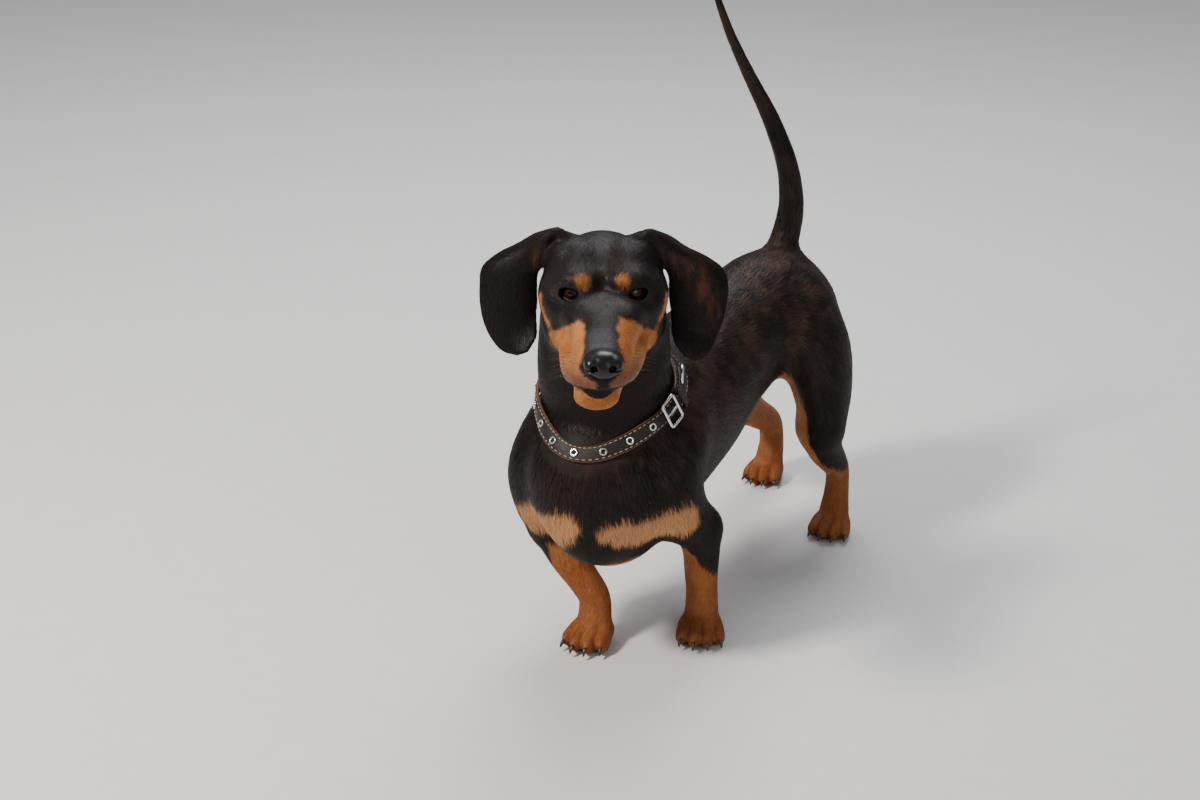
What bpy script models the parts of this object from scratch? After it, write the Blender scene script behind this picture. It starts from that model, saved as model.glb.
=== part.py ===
"""Life-size standing smooth dachshund in a studded leather collar, parted into named solids."""
import math

import bmesh
import bpy
import numpy as np
from mathutils import Matrix, Vector
from mathutils.bvhtree import BVHTree

# Overall sizes and places
MM = 0.001
CENTRING_SHIFT = (10.3 * MM, -12.2 * MM, 0.0)
PART_GAP = 0.3 * MM
SLAB_THICKNESS = 0.3 * MM
HEAD_GRID = 1.5 * MM
BODY_GRID = 3.0 * MM
FLESH_TRIANGLES = 8200

# Head placing: the point midway between the eyes, its heading and its tilt
EYE_MIDPOINT = (7.6 * MM, -162.9 * MM, 327.0 * MM)
HEAD_HEADING = 28.5
HEAD_PITCH = 3.0

# Eyes
EYE_RADIUS = 9.4 * MM
EYE_CENTRE = (-7.5, 20.3, -2.0)
EYE_TURN_OUT = 21.0
LID_OPENING = (9.0, 8.6, 5.0)
EYE_SIDES = 16
EYE_RINGS = 9
EYE_SOCKET_GAP = 1.2 * PART_GAP

# Nose
NOSE_CENTRE = (80.5, 0.0, -25.8)
NOSE_RADII = (10.8, 13.4, 8.8)

LID_OPENING_AHEAD = 7.5
EAR_BLEND = 2.5
EAR_STEPS = 3
EAR_COLUMNS = 15
EYE_SLANT = 7.0
EYE_TURN_UP = 0.06
FLOOR_CUT = (0.8, 0.9, 20.0 * MM)
SOLE_SINK = 0.5 * MM

# Reach of the modelled space: coarse from, fine from, fine to, coarse to
SPACE_X = (-0.125, -0.115, 0.095, 0.100)
SPACE_Y = (-0.275, -0.265, -0.060, 0.290)
SPACE_Z = (-0.008, 0.250, 0.372, 0.510)
FAR_OUTSIDE = 0.03
WINDOW_PAD = 6.0
SAMPLE_REACH = 0.12

# How widely each form melts into the ones before it
KEEL_BLEND = 26.0
FORECHEST_BLEND = 20.0
NECK_BLEND = 18.0
SHOULDER_BLEND = 16.0
THIGH_BLEND = 18.0
FOREARM_BLEND = 8.0
SHANK_BLEND = 10.0
TAIL_BLEND = 12.0
SKULL_BLEND = 14.0
PARIETAL_BLEND = 5.0
CROWN_BLEND = 6.0
CHEEK_BLEND = 12.0
JAW_BLEND = 10.0
MUZZLE_BLEND = 12.0
MAXILLA_BLEND = 10.0
BROW_BLEND = 9.0
LIP_BLEND = 6.0
LID_MOUND_BLEND = 8.0
EAR_BASE_BLEND = 8.0
LIP_FRONT_BLEND = 5.0
NOSE_BED_BLEND = 5.0
NOSE_BASE_BLEND = 4.0
NOSE_WING_BLEND = 2.0
EAR_CUP_BLEND = 2.0
LID_EDGE_BLEND = 0.8
MOUTH_BLEND = 1.0
NOSTRIL_BLEND = 0.8

# Paws: places ahead, left and up of the pad centre and radii, before scaling
PAD = (-6, 0, 10)
PAD_RADII = (19, 17, 12)
PAD_BLEND = 6.0
TOE_RISE = 9.0
TOE_RADII = (12.5, 6.6, 9.0)
TOE_BLEND = 2.5
KNUCKLE_BACK = 9.0
KNUCKLE_SPREAD = 0.9
KNUCKLE_RISE = 13.0
KNUCKLE_RADII = (10, 6.2, 7.5)
KNUCKLE_BLEND = 4.0

# Thin cuts that part the body: place, direction along the limb, width and depth of the slab
CUTS = (
    ((-19, -106, 262), (0.0, -0.35, 0.94), 130, 150),
    ((-22, -95, 189.4), (0.0, -0.5485, 0.836), 200, 186),
    ((-18, 30, 180), (0.0, 1.0, 0.0), 170, 190),
    ((-10, 100, 190), (0.0, 1.0, 0.0), 150, 150),
    ((-10, 204, 256), (0.0, 0.45, 0.9), 38, 38),
    ((-14, 207, 330), (-0.2, -0.15, 0.97), 32, 32),
    ((-42, 182.5, 409), (-0.35, -0.33, 0.87), 26, 26),
    ((-57, -103, 70.5), (0.0, 0.0, 1.0), 66, 70),
    ((38, -55, 70.5), (0.0, 0.0, 1.0), 66, 66),
    ((-36, -97, 36), (0.0, 0.0, 1.0), 44, 44),
    ((36, -48, 36), (0.0, 0.0, 1.0), 44, 44),
    ((-50, 172, 136), (0.0, 0.0, 1.0), 80, 120),
    ((51, 158, 136), (0.0, 0.0, 1.0), 80, 120),
    ((-49, 205, 94), (0.0, 0.0, 1.0), 60, 80),
    ((54, 160, 88), (0.0, 0.0, 1.0), 60, 80),
    ((-40, 260, 42), (0.0, 0.0, 1.0), 44, 44),
    ((57, 187, 42), (0.0, 0.0, 1.0), 44, 44),
)
EAR_CUT = (-57, 41.55, 19.0)
EAR_CUT_SIZES = (42, 41)
EAR_CUT_LEAN = 16.7

# Rough middle of each flesh solid, used to name it
SEEDS = {
    "head": (2, -150, 310),
    "ear_left": (48, -110, 310),
    "ear_right": (-70, -165, 315),
    "neck": (-20, -95, 230),
    "torso_chest": (-20, -60, 150),
    "torso_loin": (-12, 65, 190),
    "torso_hips": (-5, 155, 195),
    "foreleg_right": (-48, -102, 54),
    "foreleg_left": (38, -53, 54),
    "forepaw_right": (-33, -107, 18),
    "forepaw_left": (40, -57, 18),
    "thigh_right": (-50, 185, 115),
    "thigh_left": (53, 153, 112),
    "shank_right": (-45, 235, 68),
    "shank_left": (56, 177, 66),
    "hindpaw_right": (-40, 250, 22),
    "hindpaw_left": (59, 176, 22),
    "tail_root": (-9, 210, 293),
    "tail_mid": (-28, 196, 370),
    "tail_tip": (-52, 165, 450),
}

# Collar: a strap carried round the neck, its fittings placed by millimetres of strap from the throat
COLLAR_CENTRE = (-24, -100, 217)
COLLAR_NORMAL = (0.06, -0.386, 0.92)
COLLAR_SAMPLES = 44
COLLAR_SMOOTHING = 3
COLLAR_SMOOTHING_WIDTH = 1.6
STRAP_WIDTH = 13.0
STRAP_THICKNESS = 3.0
STRAP_CLEARANCE = 0.5
STRAP_CORNER = 0.8
EYELET_COUNT = 8
EYELET_PITCH = 21.5
EYELET_FIRST = 70.0
EYELET_OUTER = 3.2
EYELET_HOLE = 1.6
EYELET_THICKNESS = 0.9
EYELET_SIDES = 10
EYELET_LIFT = 0.35
EYELET_LIP = (0.5, 0.4)
HOLE_SIDES = 8
HOLE_PAST = 1.5
BUCKLE_PLACE = 90.0
BUCKLE_LENGTH = 15.0
BUCKLE_WIDTH = 21.0
BUCKLE_WIRE = 1.3
PRONG_WIRE = 1.0
PRONG_SIDES = 8
BUCKLE_LIFT = 1.0
BUCKLE_CORNER = 2.5
BUCKLE_CORNER_STEPS = 4
PRONG_CLEARANCE = 0.4
END_TIP = 134.0
END_BASE = 100.0
END_LIFT = 0.8
END_THICKNESS = 2.6
END_INSET = 0.4
END_STEPS = 10
KEEPER_PLACE = 104.5
KEEPER_LENGTH = 6.0
KEEPER_WALL = 1.5
KEEPER_CLEARANCE = 0.5
KEEPER_LIFT = 0.4
KEEPER_HEADROOM = 0.9
D_RING_PLACE = 119.0
D_RING_RADIUS = 8.0
D_RING_WIRE = 1.1
D_RING_LIFT = 4.0
D_RING_ASIDE = 7.0
D_RING_LEAN = (0.9, 0.45)
D_RING_STEPS = 12
D_RING_BAR = 4.5
WIRE_SIDES = 6

# Claws: length and thickness along the toe
CLAW_PATH = ((7.0, 8.4), (11.0, 8.9), (14.2, 7.4), (16.8, 4.2))
CLAW_RADII = (2.2, 2.1, 1.6, 0.6)
CLAW_SIDES = 6
TOES = ((-14.5, 9.0, -14.0), (-5.2, 15.0, -4.0), (5.2, 15.0, 4.0), (14.5, 9.0, 14.0))

# Nose leather
NOSE_GRID = 0.9 * MM
NOSE_TRIANGLES = 560
NOSE_MARGIN = 3.0 * MM
NOSE_BASE = (82.5, 0.0, -30.5)
NOSE_BASE_RADII = (8.5, 9.5, 7.0)
NOSE_WING = (84.0, 8.3, -26.8)
NOSE_WING_RADII = (7.6, 5.6, 6.4)
NOSTRIL = (92.0, 6.6, -27.6)
NOSTRIL_RADII = (5.5, 2.7, 2.6)
NOSTRIL_SLIT = ((91, 8.4, -28.6), (87, 12.6, -29.0), (81, 14.6, -27.5))
NOSE_GROOVE_RADIUS = 0.9
NOSTRIL_SLIT_RADIUS = 1.1
NOSE_GROOVE = ((93.5, 0, -24.0), (93.0, 0, -30.0), (89.5, 0, -38.0))

# Trunk: x, y, z, side radius, up radius in millimetres, from the shoulders to the rump
BARREL = (
    (-21, -122, 162, 54, 48),
    (-26, -82, 166, 66, 63),
    (-24, -35, 171, 66, 64),
    (-20, 15, 176, 60, 62),
    (-15, 60, 187, 52, 56),
    (-10, 105, 198, 48, 54),
    (-6, 150, 206, 49, 53),
    (-4, 182, 210, 42, 43),
)
KEEL = (
    (-15, -126, 126, 38, 38),
    (-20, -98, 119, 44, 43),
    (-22, -60, 120, 42, 42),
    (-20, -15, 126, 36, 36),
    (-16, 35, 142, 30, 30),
)
NECK = (
    (-25, -74, 165, 58, 56),
    (-26, -88, 202, 52, 50),
    (-25.5, -100, 236, 52, 46),
    (-22.5, -106, 268, 50.5, 44),
    (-23, -108, 296, 46, 42),
    (-25, -106, 310, 39, 38),
)
NECK_SIDE_REFERENCE = (0.15, -0.98, 0.0)
FORECHEST = (-13, -124, 146)
FORECHEST_RADII = (32, 50, 38)
CHEST_HEADING = 12.0

# Shoulders and forelegs, right then left: rows from the withers down to the wrist
SHOULDER_RIGHT = (
    (-48, -62, 208, 20, 16),
    (-68, -92, 180, 25, 26),
    (-76, -112, 154, 25, 30),
    (-76, -110, 126, 23, 28),
    (-73, -103, 98, 18, 20),
)
SHOULDER_LEFT = (
    (4, -38, 212, 20, 16),
    (20, -70, 182, 25, 26),
    (27, -92, 156, 25, 30),
    (31, -82, 126, 22, 28),
    (39, -62, 102, 18, 20),
)
FOREARM_RIGHT = (
    (-72, -103, 96, 17, 19),
    (-58, -103, 72, 15, 15),
    (-44, -100, 52, 13.5, 13),
    (-36, -97, 36, 13, 12.5),
    (-33, -102, 20, 14, 12),
)
FOREARM_LEFT = (
    (40, -61, 100, 17, 19),
    (39, -56, 76, 15, 15),
    (37, -51, 54, 13.5, 13),
    (36, -47, 36, 13, 12.5),
    (38, -51, 20, 14, 12),
)
LIMB_REFERENCE = (0.2, -0.98, 0.0)

# Hind legs, right then left
THIGH_RIGHT = (
    (-30, 165, 205, 28, 44),
    (-42, 168, 172, 26, 44),
    (-48, 172, 140, 21, 36),
    (-49, 178, 116, 18, 26),
)
THIGH_LEFT = (
    (24, 164, 205, 31, 48),
    (41, 163, 172, 29, 49),
    (51, 158, 138, 24, 41),
    (54, 150, 112, 20, 29),
)
SHANK_RIGHT = (
    (-49, 180, 118, 19, 26),
    (-49, 204, 94, 16, 21),
    (-45, 236, 70, 13, 15),
    (-42, 258, 54, 11.5, 13),
    (-40, 260, 34, 11.5, 12),
    (-39, 254, 20, 13, 12),
)
SHANK_LEFT = (
    (53, 148, 112, 19, 27),
    (54, 160, 88, 15, 20),
    (56, 177, 68, 12, 15),
    (56, 188, 54, 10.5, 12.5),
    (57, 186, 36, 11, 11),
    (58, 180, 20, 13, 12),
)

# Paws: floor place of the pad centre, heading, scale
PAWS = {
    "forepaw_right": (-33, -107, 4, 0.93),
    "forepaw_left": (40, -57, 26, 0.93),
    "hindpaw_right": (-39, 247, 4, 0.86),
    "hindpaw_left": (60, 170, 10, 0.88),
}

# Tail: x, y, z, side radius, up radius
TAIL = (
    (-7, 172, 226, 24, 24),
    (-9, 190, 238, 17, 17),
    (-10, 204, 256, 13.2, 13.2),
    (-8, 211, 285, 11.4, 11.4),
    (-12, 208, 322, 9.6, 9.6),
    (-24, 198, 363, 7.7, 7.7),
    (-40, 185, 403, 5.6, 5.6),
    (-51, 170, 439, 4.2, 4.2),
    (-57, 156, 471, 3.1, 3.1),
    (-61, 145, 495, 2.2, 2.2),
)
TAIL_REFERENCE = (1.0, 0.2, 0.0)

# Head: rows of ahead, left, up, side radius, up radius, in millimetres from the eye midpoint
SKULL = (-50, 0, -7)
SKULL_RADII = (46, 36, 32)
PARIETAL = (-42, 17, -4)
PARIETAL_RADII = (38, 22, 32)
CROWN = (-50, 28, 14)
CROWN_RADII = (24, 13, 16)
ZYGOMATIC = (-29, 31, -10)
ZYGOMATIC_RADII = (32, 17, 19)
BROW = (-10.5, 16.5, 7.5)
BROW_RADII = (16, 14, 8)
MAXILLA = (8, 15, -14)
MAXILLA_RADII = (26, 13, 12)
MUZZLE = (
    (-12, 0, -22, 30, 24),
    (10, 0, -23, 26, 21.5),
    (32, 0, -25, 23, 19.5),
    (54, 0, -28, 20.5, 17),
    (70, 0, -31, 17.5, 14.5),
    (77, 0, -32.5, 14, 12),
)
JAW = (
    (-45, 0, -42, 30, 20),
    (-15, 0, -45, 26, 17),
    (20, -1, -49, 20, 13),
    (50, -3.5, -53.5, 17, 11.5),
    (69, -5, -54.5, 16, 10),
)
LIP = (
    (74, 11, -38.5, 8.5, 7),
    (62, 16.5, -40, 8.5, 8.5),
    (42, 20, -41.5, 8.5, 9),
    (18, 23, -42, 8, 9),
    (0, 25, -39, 7.5, 7.5),
)
LIP_FRONT = (76, -2, -38)
LIP_FRONT_RADII = (11, 15, 7.5)
LIP_SWING = -0.045
CHEEK = (-32, 27, -34)
CHEEK_RADII = (28, 17, 22)
MOUTH_LINE = (
    (92, 0, -44.5),
    (82, 11, -45),
    (70, 19, -46.5),
    (48, 26, -49.5),
    (24, 30, -50),
    (4, 33, -46),
)
MOUTH_RADIUS = 1.4
LID_MOUND_RADII = (10.5, 14, 11)
NOSE_BED = (76, 0, -28)
NOSE_BED_RADII = (12, 13, 10)

# Ears, each row from the front edge to the back edge, root first
EAR_RIGHT = (
    ((-43, 27, 26), (-70, 30, 20)),
    ((-44, 34, 32), (-69, 46, 22)),
    ((-43, 41.5, 28), (-68, 62, 14.5)),
    ((-46, 42.5, 18.5), (-67, 78, 7.5)),
    ((-50, 45.3, 8.5), (-66, 89, -1.5)),
    ((-53, 50.5, -2.5), (-64, 91, -13)),
    ((-54, 50.8, -13.5), (-61, 91, -28)),
    ((-53, 50.8, -25), (-58, 88.5, -41)),
    ((-51, 51.5, -36), (-54, 83, -52)),
    ((-44, 51, -47), (-48, 75, -59.5)),
    ((-38, 57, -57), (-42, 64.5, -61)),
)
EAR_LEFT = (
    ((-43, 27, 26), (-70, 30, 20)),
    ((-44, 34, 31), (-69, 46, 20)),
    ((-43, 40, 26), (-68, 60, 12)),
    ((-47, 43, 16.5), (-67, 76.5, 5)),
    ((-51, 46.3, 6), (-66, 88.5, -3.5)),
    ((-54, 50.3, -5), (-64, 92, -14)),
    ((-55, 50.3, -17), (-62, 91.5, -27)),
    ((-56, 51.6, -28), (-59, 88.5, -41)),
    ((-53, 52.6, -39), (-55, 83.5, -52.5)),
    ((-42, 54, -50.5), (-47, 77.5, -62)),
    ((-39, 61.7, -61), (-42, 68.4, -65)),
)
EAR_BULGE = (0, 0.5, 1.5, 4, 6, 7, 6.5, 6, 4.5, 2.5, 1)
EAR_HALF_THICKNESS = (5.0, 4.4, 3.6, 2.8, 2.3, 2.0, 1.9, 1.8, 1.8, 1.7, 1.6)
EAR_BASE = (-55, 35, 13)
EAR_BASE_RADII = (15, 9, 16)
EAR_CUP = (-57, 47, 4)
EAR_CUP_RADII = (8, 7, 11)


def unit(v):
    v = np.asarray(v, float)
    return v / np.linalg.norm(v)


def axes_from(forward, up):
    """Rows forward, left and up of a right-handed frame."""
    ahead = unit(forward)
    left = unit(np.cross(up, ahead))
    return np.array([ahead, left, np.cross(ahead, left)])


def heading_axes(yaw_degrees, pitch_degrees=0.0):
    yaw = math.radians(yaw_degrees)
    pitch = math.radians(pitch_degrees)
    ahead = (math.sin(yaw) * math.cos(pitch), -math.cos(yaw) * math.cos(pitch), math.sin(pitch))
    return axes_from(ahead, (0.0, 0.0, 1.0))


HEAD_AXES = heading_axes(HEAD_HEADING, HEAD_PITCH)


def head_point(f, s, u):
    """A place on the head, in millimetres ahead, left and up of the eye midpoint."""
    return np.asarray(EYE_MIDPOINT) + np.array([f, s, u]) * MM @ HEAD_AXES


class Ball:
    """Ellipsoid field with its own axes as rows."""

    def __init__(self, centre, radii, axes=None):
        self.centre = np.asarray(centre, float)
        self.radii = np.asarray(radii, float)
        self.axes = np.eye(3) if axes is None else np.asarray(axes, float)

    def bounds(self):
        reach = np.sqrt(((self.axes.T * self.radii) ** 2).sum(1))
        return self.centre - reach, self.centre + reach

    def distance(self, points):
        local = (points - self.centre) @ self.axes.T
        k0 = np.linalg.norm(local / self.radii, axis=1)
        k1 = np.linalg.norm(local / self.radii ** 2, axis=1) + 1e-9
        return k0 * (k0 - 1.0) / k1


def smooth_stations(rows, steps):
    """Rows on a smooth curve through the given ones."""
    rows = np.asarray(rows, float)
    padded = np.vstack([2 * rows[0] - rows[1], rows, 2 * rows[-1] - rows[-2]])
    out = []
    for i in range(1, len(padded) - 2):
        a, b, c, d = padded[i - 1:i + 3]
        for t in np.arange(steps) / steps:
            out.append(0.5 * (2 * b + (c - a) * t + (2 * a - 5 * b + 4 * c - d) * t ** 2
                              + (3 * b - a - 3 * c + d) * t ** 3))
    out.append(rows[-1])
    return np.array(out)


class Limb:
    """Elliptical sweep through rows of x, y, z, side radius and up radius."""

    def __init__(self, rows, up=(0.0, 0.0, 1.0), steps=5):
        rows = smooth_stations(rows, steps)
        self.path = rows[:, :3]
        self.side = rows[:, 3]
        self.rise = rows[:, 4]
        self.up = np.asarray(up, float)

    def bounds(self):
        reach = np.maximum(self.side, self.rise)[:, None]
        return (self.path - reach).min(0), (self.path + reach).max(0)

    def distance(self, points):
        best = np.full(len(points), 1.0)
        for i in range(len(self.path) - 1):
            start = self.path[i]
            span = self.path[i + 1] - start
            length = np.linalg.norm(span)
            along = span / length
            side = unit(np.cross(self.up, along))
            rise = np.cross(along, side)
            offset = points - start
            t = np.clip(offset @ along / length, 0.0, 1.0)
            offset = offset - t[:, None] * span
            side_r = self.side[i] * (1 - t) + self.side[i + 1] * t
            rise_r = self.rise[i] * (1 - t) + self.rise[i + 1] * t
            end_r = np.minimum(side_r, rise_r)
            reach = np.linalg.norm(offset, axis=1) + 1e-9
            ratio = np.sqrt((offset @ side / side_r) ** 2 + (offset @ rise / rise_r) ** 2
                            + (offset @ along / end_r) ** 2) + 1e-9
            best = np.minimum(best, reach * (1.0 - 1.0 / ratio))
        return best


class Plate:
    """A curved plate round a net of points, its half thickness given for each row."""

    def __init__(self, net, half_rows):
        rows, columns = net.shape[:2]
        self.points = net.reshape(-1, 3)
        faces = []
        self.half = []
        for i in range(rows - 1):
            for j in range(columns - 1):
                a = i * columns + j
                d = a + columns
                faces += [(a, a + 1, d + 1), (a, d + 1, d)]
                self.half += [half_rows[i], half_rows[i]]
        self.tree = BVHTree.FromPolygons([Vector(p) for p in self.points], faces)
        self.reach = max(half_rows)

    def bounds(self):
        return self.points.min(0) - self.reach, self.points.max(0) + self.reach

    def distance(self, points):
        limit = 20.0 * MM
        out = np.full(len(points), limit)
        for i, point in enumerate(points):
            place, _, index, away = self.tree.find_nearest(Vector(point), limit)
            if place is not None:
                out[i] = away - self.half[index]
        return out


def smooth_low(a, b, blend):
    if blend <= 0.0:
        return np.minimum(a, b)
    h = np.maximum(blend - np.abs(a - b), 0.0) / blend
    return np.minimum(a, b) - h * h * blend * 0.25


class Field:
    """Signed distances on a grid, joined and carved shape by shape."""

    def __init__(self, xs, ys, zs):
        self.axes = [np.asarray(v, float) for v in (xs, ys, zs)]
        self.values = np.full([len(v) for v in self.axes], FAR_OUTSIDE)

    def window(self, shape, pad):
        low, high = shape.bounds()
        return tuple(
            slice(max(0, int(np.searchsorted(v, a - pad)) - 1), int(np.searchsorted(v, b + pad)) + 1)
            for v, a, b in zip(self.axes, low, high))

    def points(self, window):
        grids = np.meshgrid(*[v[s] for v, s in zip(self.axes, window)], indexing="ij")
        return np.stack([g.ravel() for g in grids], 1)

    def join(self, shape, blend):
        window = self.window(shape, max(blend, WINDOW_PAD * MM))
        old = self.values[window]
        new = shape.distance(self.points(window)).reshape(old.shape)
        self.values[window] = smooth_low(old, new, blend)

    def carve(self, shape, blend):
        window = self.window(shape, blend + 3.0 * MM)
        old = self.values[window]
        new = shape.distance(self.points(window)).reshape(old.shape)
        self.values[window] = -smooth_low(-old, new, blend)


CORNERS = [(a, b, c) for a in (0, 1) for b in (0, 1) for c in (0, 1)]


def connected(corners):
    """Whether cell corners hang together along the cell's edges."""
    if not corners:
        return True
    reached = {corners[0]}
    for _ in corners:
        reached |= {c for c in corners if any(sum(abs(x - y) for x, y in zip(c, r)) == 1 for r in reached)}
    return len(reached) == len(corners)


def pinched_codes():
    """For each of the 256 corner patterns, whether the surface would pinch inside the cell."""
    pinched = np.zeros(256, bool)
    for code in range(256):
        inner = [c for k, c in enumerate(CORNERS) if code >> k & 1]
        outer = [c for k, c in enumerate(CORNERS) if not code >> k & 1]
        pinched[code] = not (connected(inner) and connected(outer))
    return pinched


def fill_pinches(values):
    """Fill single grid points where two sheets of the surface would share a cell."""
    pinched = pinched_codes()
    nx, ny, nz = values.shape
    for _ in range(40):
        inside = values < 0.0
        code = sum(inside[a:nx - 1 + a, b:ny - 1 + b, c:nz - 1 + c].astype(int) << k
                   for k, (a, b, c) in enumerate(CORNERS))
        cells = np.argwhere(pinched[code])
        if not len(cells):
            break
        for cell in cells:
            places = [tuple(cell + corner) for corner in CORNERS]
            outer = [place for place in places if values[place] >= 0.0]
            if outer:
                values[min(outer, key=lambda place: values[place])] = -0.05 * MM
    return values


def surface_net(values, axes):
    """Vertices and quads of the zero surface, one vertex in each cell it crosses."""
    values = fill_pinches(values)
    inside = values < 0.0
    nx, ny, nz = values.shape
    count = sum(inside[a:nx - 1 + a, b:ny - 1 + b, c:nz - 1 + c].astype(int) for a, b, c in CORNERS)
    cells = np.array(np.nonzero((count > 0) & (count < 8))).T
    index = np.full(count.shape, -1)
    index[tuple(cells.T)] = np.arange(len(cells))
    total = np.zeros((len(cells), 3))
    hits = np.zeros(len(cells))
    for corner in CORNERS:
        for axis in range(3):
            if corner[axis]:
                continue
            a = cells + corner
            b = a.copy()
            b[:, axis] += 1
            va = values[tuple(a.T)]
            vb = values[tuple(b.T)]
            cross = (va < 0.0) != (vb < 0.0)
            t = np.where(cross, va / np.where(cross, va - vb, 1.0), 0.0)
            place = np.stack([axes[n][a[:, n]] for n in range(3)], 1)
            place[:, axis] += t * (axes[axis][b[:, axis]] - axes[axis][a[:, axis]])
            total += place * cross[:, None]
            hits += cross
    quads = []
    for axis in range(3):
        low = [slice(1, -1)] * 3
        high = [slice(1, -1)] * 3
        low[axis] = slice(None, -1)
        high[axis] = slice(1, None)
        base = np.array(np.nonzero(inside[tuple(low)] != inside[tuple(high)])).T
        start = base.copy()
        for n in range(3):
            if n != axis:
                start[:, n] += 1
        p, q = [n for n in range(3) if n != axis]
        ring = []
        for dp, dq in ((-1, -1), (0, -1), (0, 0), (-1, 0)):
            cell = start.copy()
            cell[:, p] += dp
            cell[:, q] += dq
            ring.append(index[tuple(cell.T)])
        quad = np.stack(ring, 1)
        outward = inside[tuple(start.T)]
        if axis == 1:
            outward = ~outward
        quad[~outward] = quad[~outward][:, ::-1]
        quads.append(quad)
    return total / hits[:, None], np.concatenate(quads)


def millimetres(rows):
    return np.asarray(rows, float) * MM


def head_rows(rows):
    """Head rows carried to the body frame, radii kept."""
    out = []
    for f, s, u, side, rise in rows:
        out.append([*head_point(f, s, u), side * MM, rise * MM])
    return out


def swing(f):
    """How far the mouth is set aside at a place along the muzzle."""
    return LIP_SWING * max(f, 0.0)


def head_ball(centre, radii, mirror=1, axes=None):
    f, s, u = centre
    return Ball(head_point(f, s * mirror, u), millimetres(radii), HEAD_AXES if axes is None else axes)


def eye_axes(mirror):
    turn = math.radians(EYE_TURN_OUT) * mirror
    ahead = np.array([math.cos(turn), math.sin(turn), EYE_TURN_UP]) @ HEAD_AXES
    tilt = math.radians(EYE_SLANT) * mirror
    return axes_from(ahead, HEAD_AXES[2] * math.cos(tilt) - HEAD_AXES[1] * math.sin(tilt))


def ear_rows(mirror):
    """Smooth rows of front edge, back edge, bulge and half thickness."""
    table = EAR_LEFT if mirror > 0 else EAR_RIGHT
    rows = [[*front, *back, bulge, half]
            for (front, back), bulge, half in zip(table, EAR_BULGE, EAR_HALF_THICKNESS)]
    return smooth_stations(rows, EAR_STEPS)


def ear_plate(mirror):
    net = []
    rows = ear_rows(mirror)
    for row in rows:
        front, back, bulge = row[:3], row[3:6], row[6]
        outward = unit(np.cross(unit(back - front), (0.0, 0.0, 1.0)))
        if outward[0] + outward[1] < 0.0:
            outward = -outward
        t = np.linspace(0.0, 1.0, EAR_COLUMNS)[:, None]
        points = front + (back - front) * t + outward * bulge * 4.0 * t * (1.0 - t)
        points[:, 1] *= mirror
        net.append([head_point(*p) for p in points])
    return Plate(np.array(net), rows[:, 7] * MM)


def body_forms():
    """Every soft form with the blend that joins it, large forms first."""
    chest = heading_axes(CHEST_HEADING)
    forms = [
        (Limb(millimetres(BARREL)), 0.0),
        (Limb(millimetres(KEEL)), KEEL_BLEND),
        (Ball(millimetres(FORECHEST), millimetres(FORECHEST_RADII), chest), FORECHEST_BLEND),
        (Limb(millimetres(NECK), NECK_SIDE_REFERENCE), NECK_BLEND),
    ]
    limbs = (
        ((SHOULDER_RIGHT, SHOULDER_LEFT), SHOULDER_BLEND),
        ((THIGH_RIGHT, THIGH_LEFT), THIGH_BLEND),
        ((FOREARM_RIGHT, FOREARM_LEFT), FOREARM_BLEND),
        ((SHANK_RIGHT, SHANK_LEFT), SHANK_BLEND),
    )
    for pair, blend in limbs:
        for rows in pair:
            forms.append((Limb(millimetres(rows), LIMB_REFERENCE), blend))
    forms.append((Limb(millimetres(TAIL), TAIL_REFERENCE), TAIL_BLEND))
    for x, y, heading, scale in PAWS.values():
        forms += paw_forms(x, y, heading, scale)
    return forms


def paw_forms(x, y, heading, scale):
    """Pad, metacarpals and four arched toes about a place on the floor."""
    axes = heading_axes(heading)

    def ball(f, s, u, radii, ball_axes):
        centre = np.array([x, y, 0.0]) * MM + np.array([f, s, u]) * MM * scale @ axes
        return Ball(centre, millimetres(radii) * scale, ball_axes)

    forms = [(ball(*PAD, PAD_RADII, axes), PAD_BLEND)]
    for s, f, turn in TOES:
        toe_axes = heading_axes(heading + turn)
        forms.append((ball(f, s, TOE_RISE, TOE_RADII, toe_axes), TOE_BLEND))
        knuckle = ball(f - KNUCKLE_BACK, s * KNUCKLE_SPREAD, KNUCKLE_RISE, KNUCKLE_RADII, toe_axes)
        forms.append((knuckle, KNUCKLE_BLEND))
    return forms


def head_forms():
    """Skull, cheeks, muzzle, jaw, brows, lips and lid mounds with their blends."""
    forms = [(head_ball(SKULL, SKULL_RADII), SKULL_BLEND)]
    for mirror in (1, -1):
        forms.append((head_ball(PARIETAL, PARIETAL_RADII, mirror), PARIETAL_BLEND))
        forms.append((head_ball(CROWN, CROWN_RADII, mirror), CROWN_BLEND))
        forms.append((head_ball(ZYGOMATIC, ZYGOMATIC_RADII, mirror), CHEEK_BLEND))
        forms.append((head_ball(CHEEK, CHEEK_RADII, mirror), CHEEK_BLEND))
    forms.append((Limb(head_rows(JAW)), JAW_BLEND))
    forms.append((Limb(head_rows(MUZZLE)), MUZZLE_BLEND))
    for mirror in (1, -1):
        forms.append((head_ball(MAXILLA, MAXILLA_RADII, mirror), MAXILLA_BLEND))
        forms.append((head_ball(BROW, BROW_RADII, mirror), BROW_BLEND))
        lip = [(f, s * mirror + swing(f), u, side, rise) for f, s, u, side, rise in LIP]
        forms.append((Limb(head_rows(lip)), LIP_BLEND))
        forms.append((head_ball(EYE_CENTRE, LID_MOUND_RADII, mirror, eye_axes(mirror)), LID_MOUND_BLEND))
        forms.append((head_ball(EAR_BASE, EAR_BASE_RADII, mirror), EAR_BASE_BLEND))
    forms.append((head_ball(LIP_FRONT, LIP_FRONT_RADII), LIP_FRONT_BLEND))
    forms.append((head_ball(NOSE_BED, NOSE_BED_RADII), NOSE_BED_BLEND))
    return forms


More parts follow.
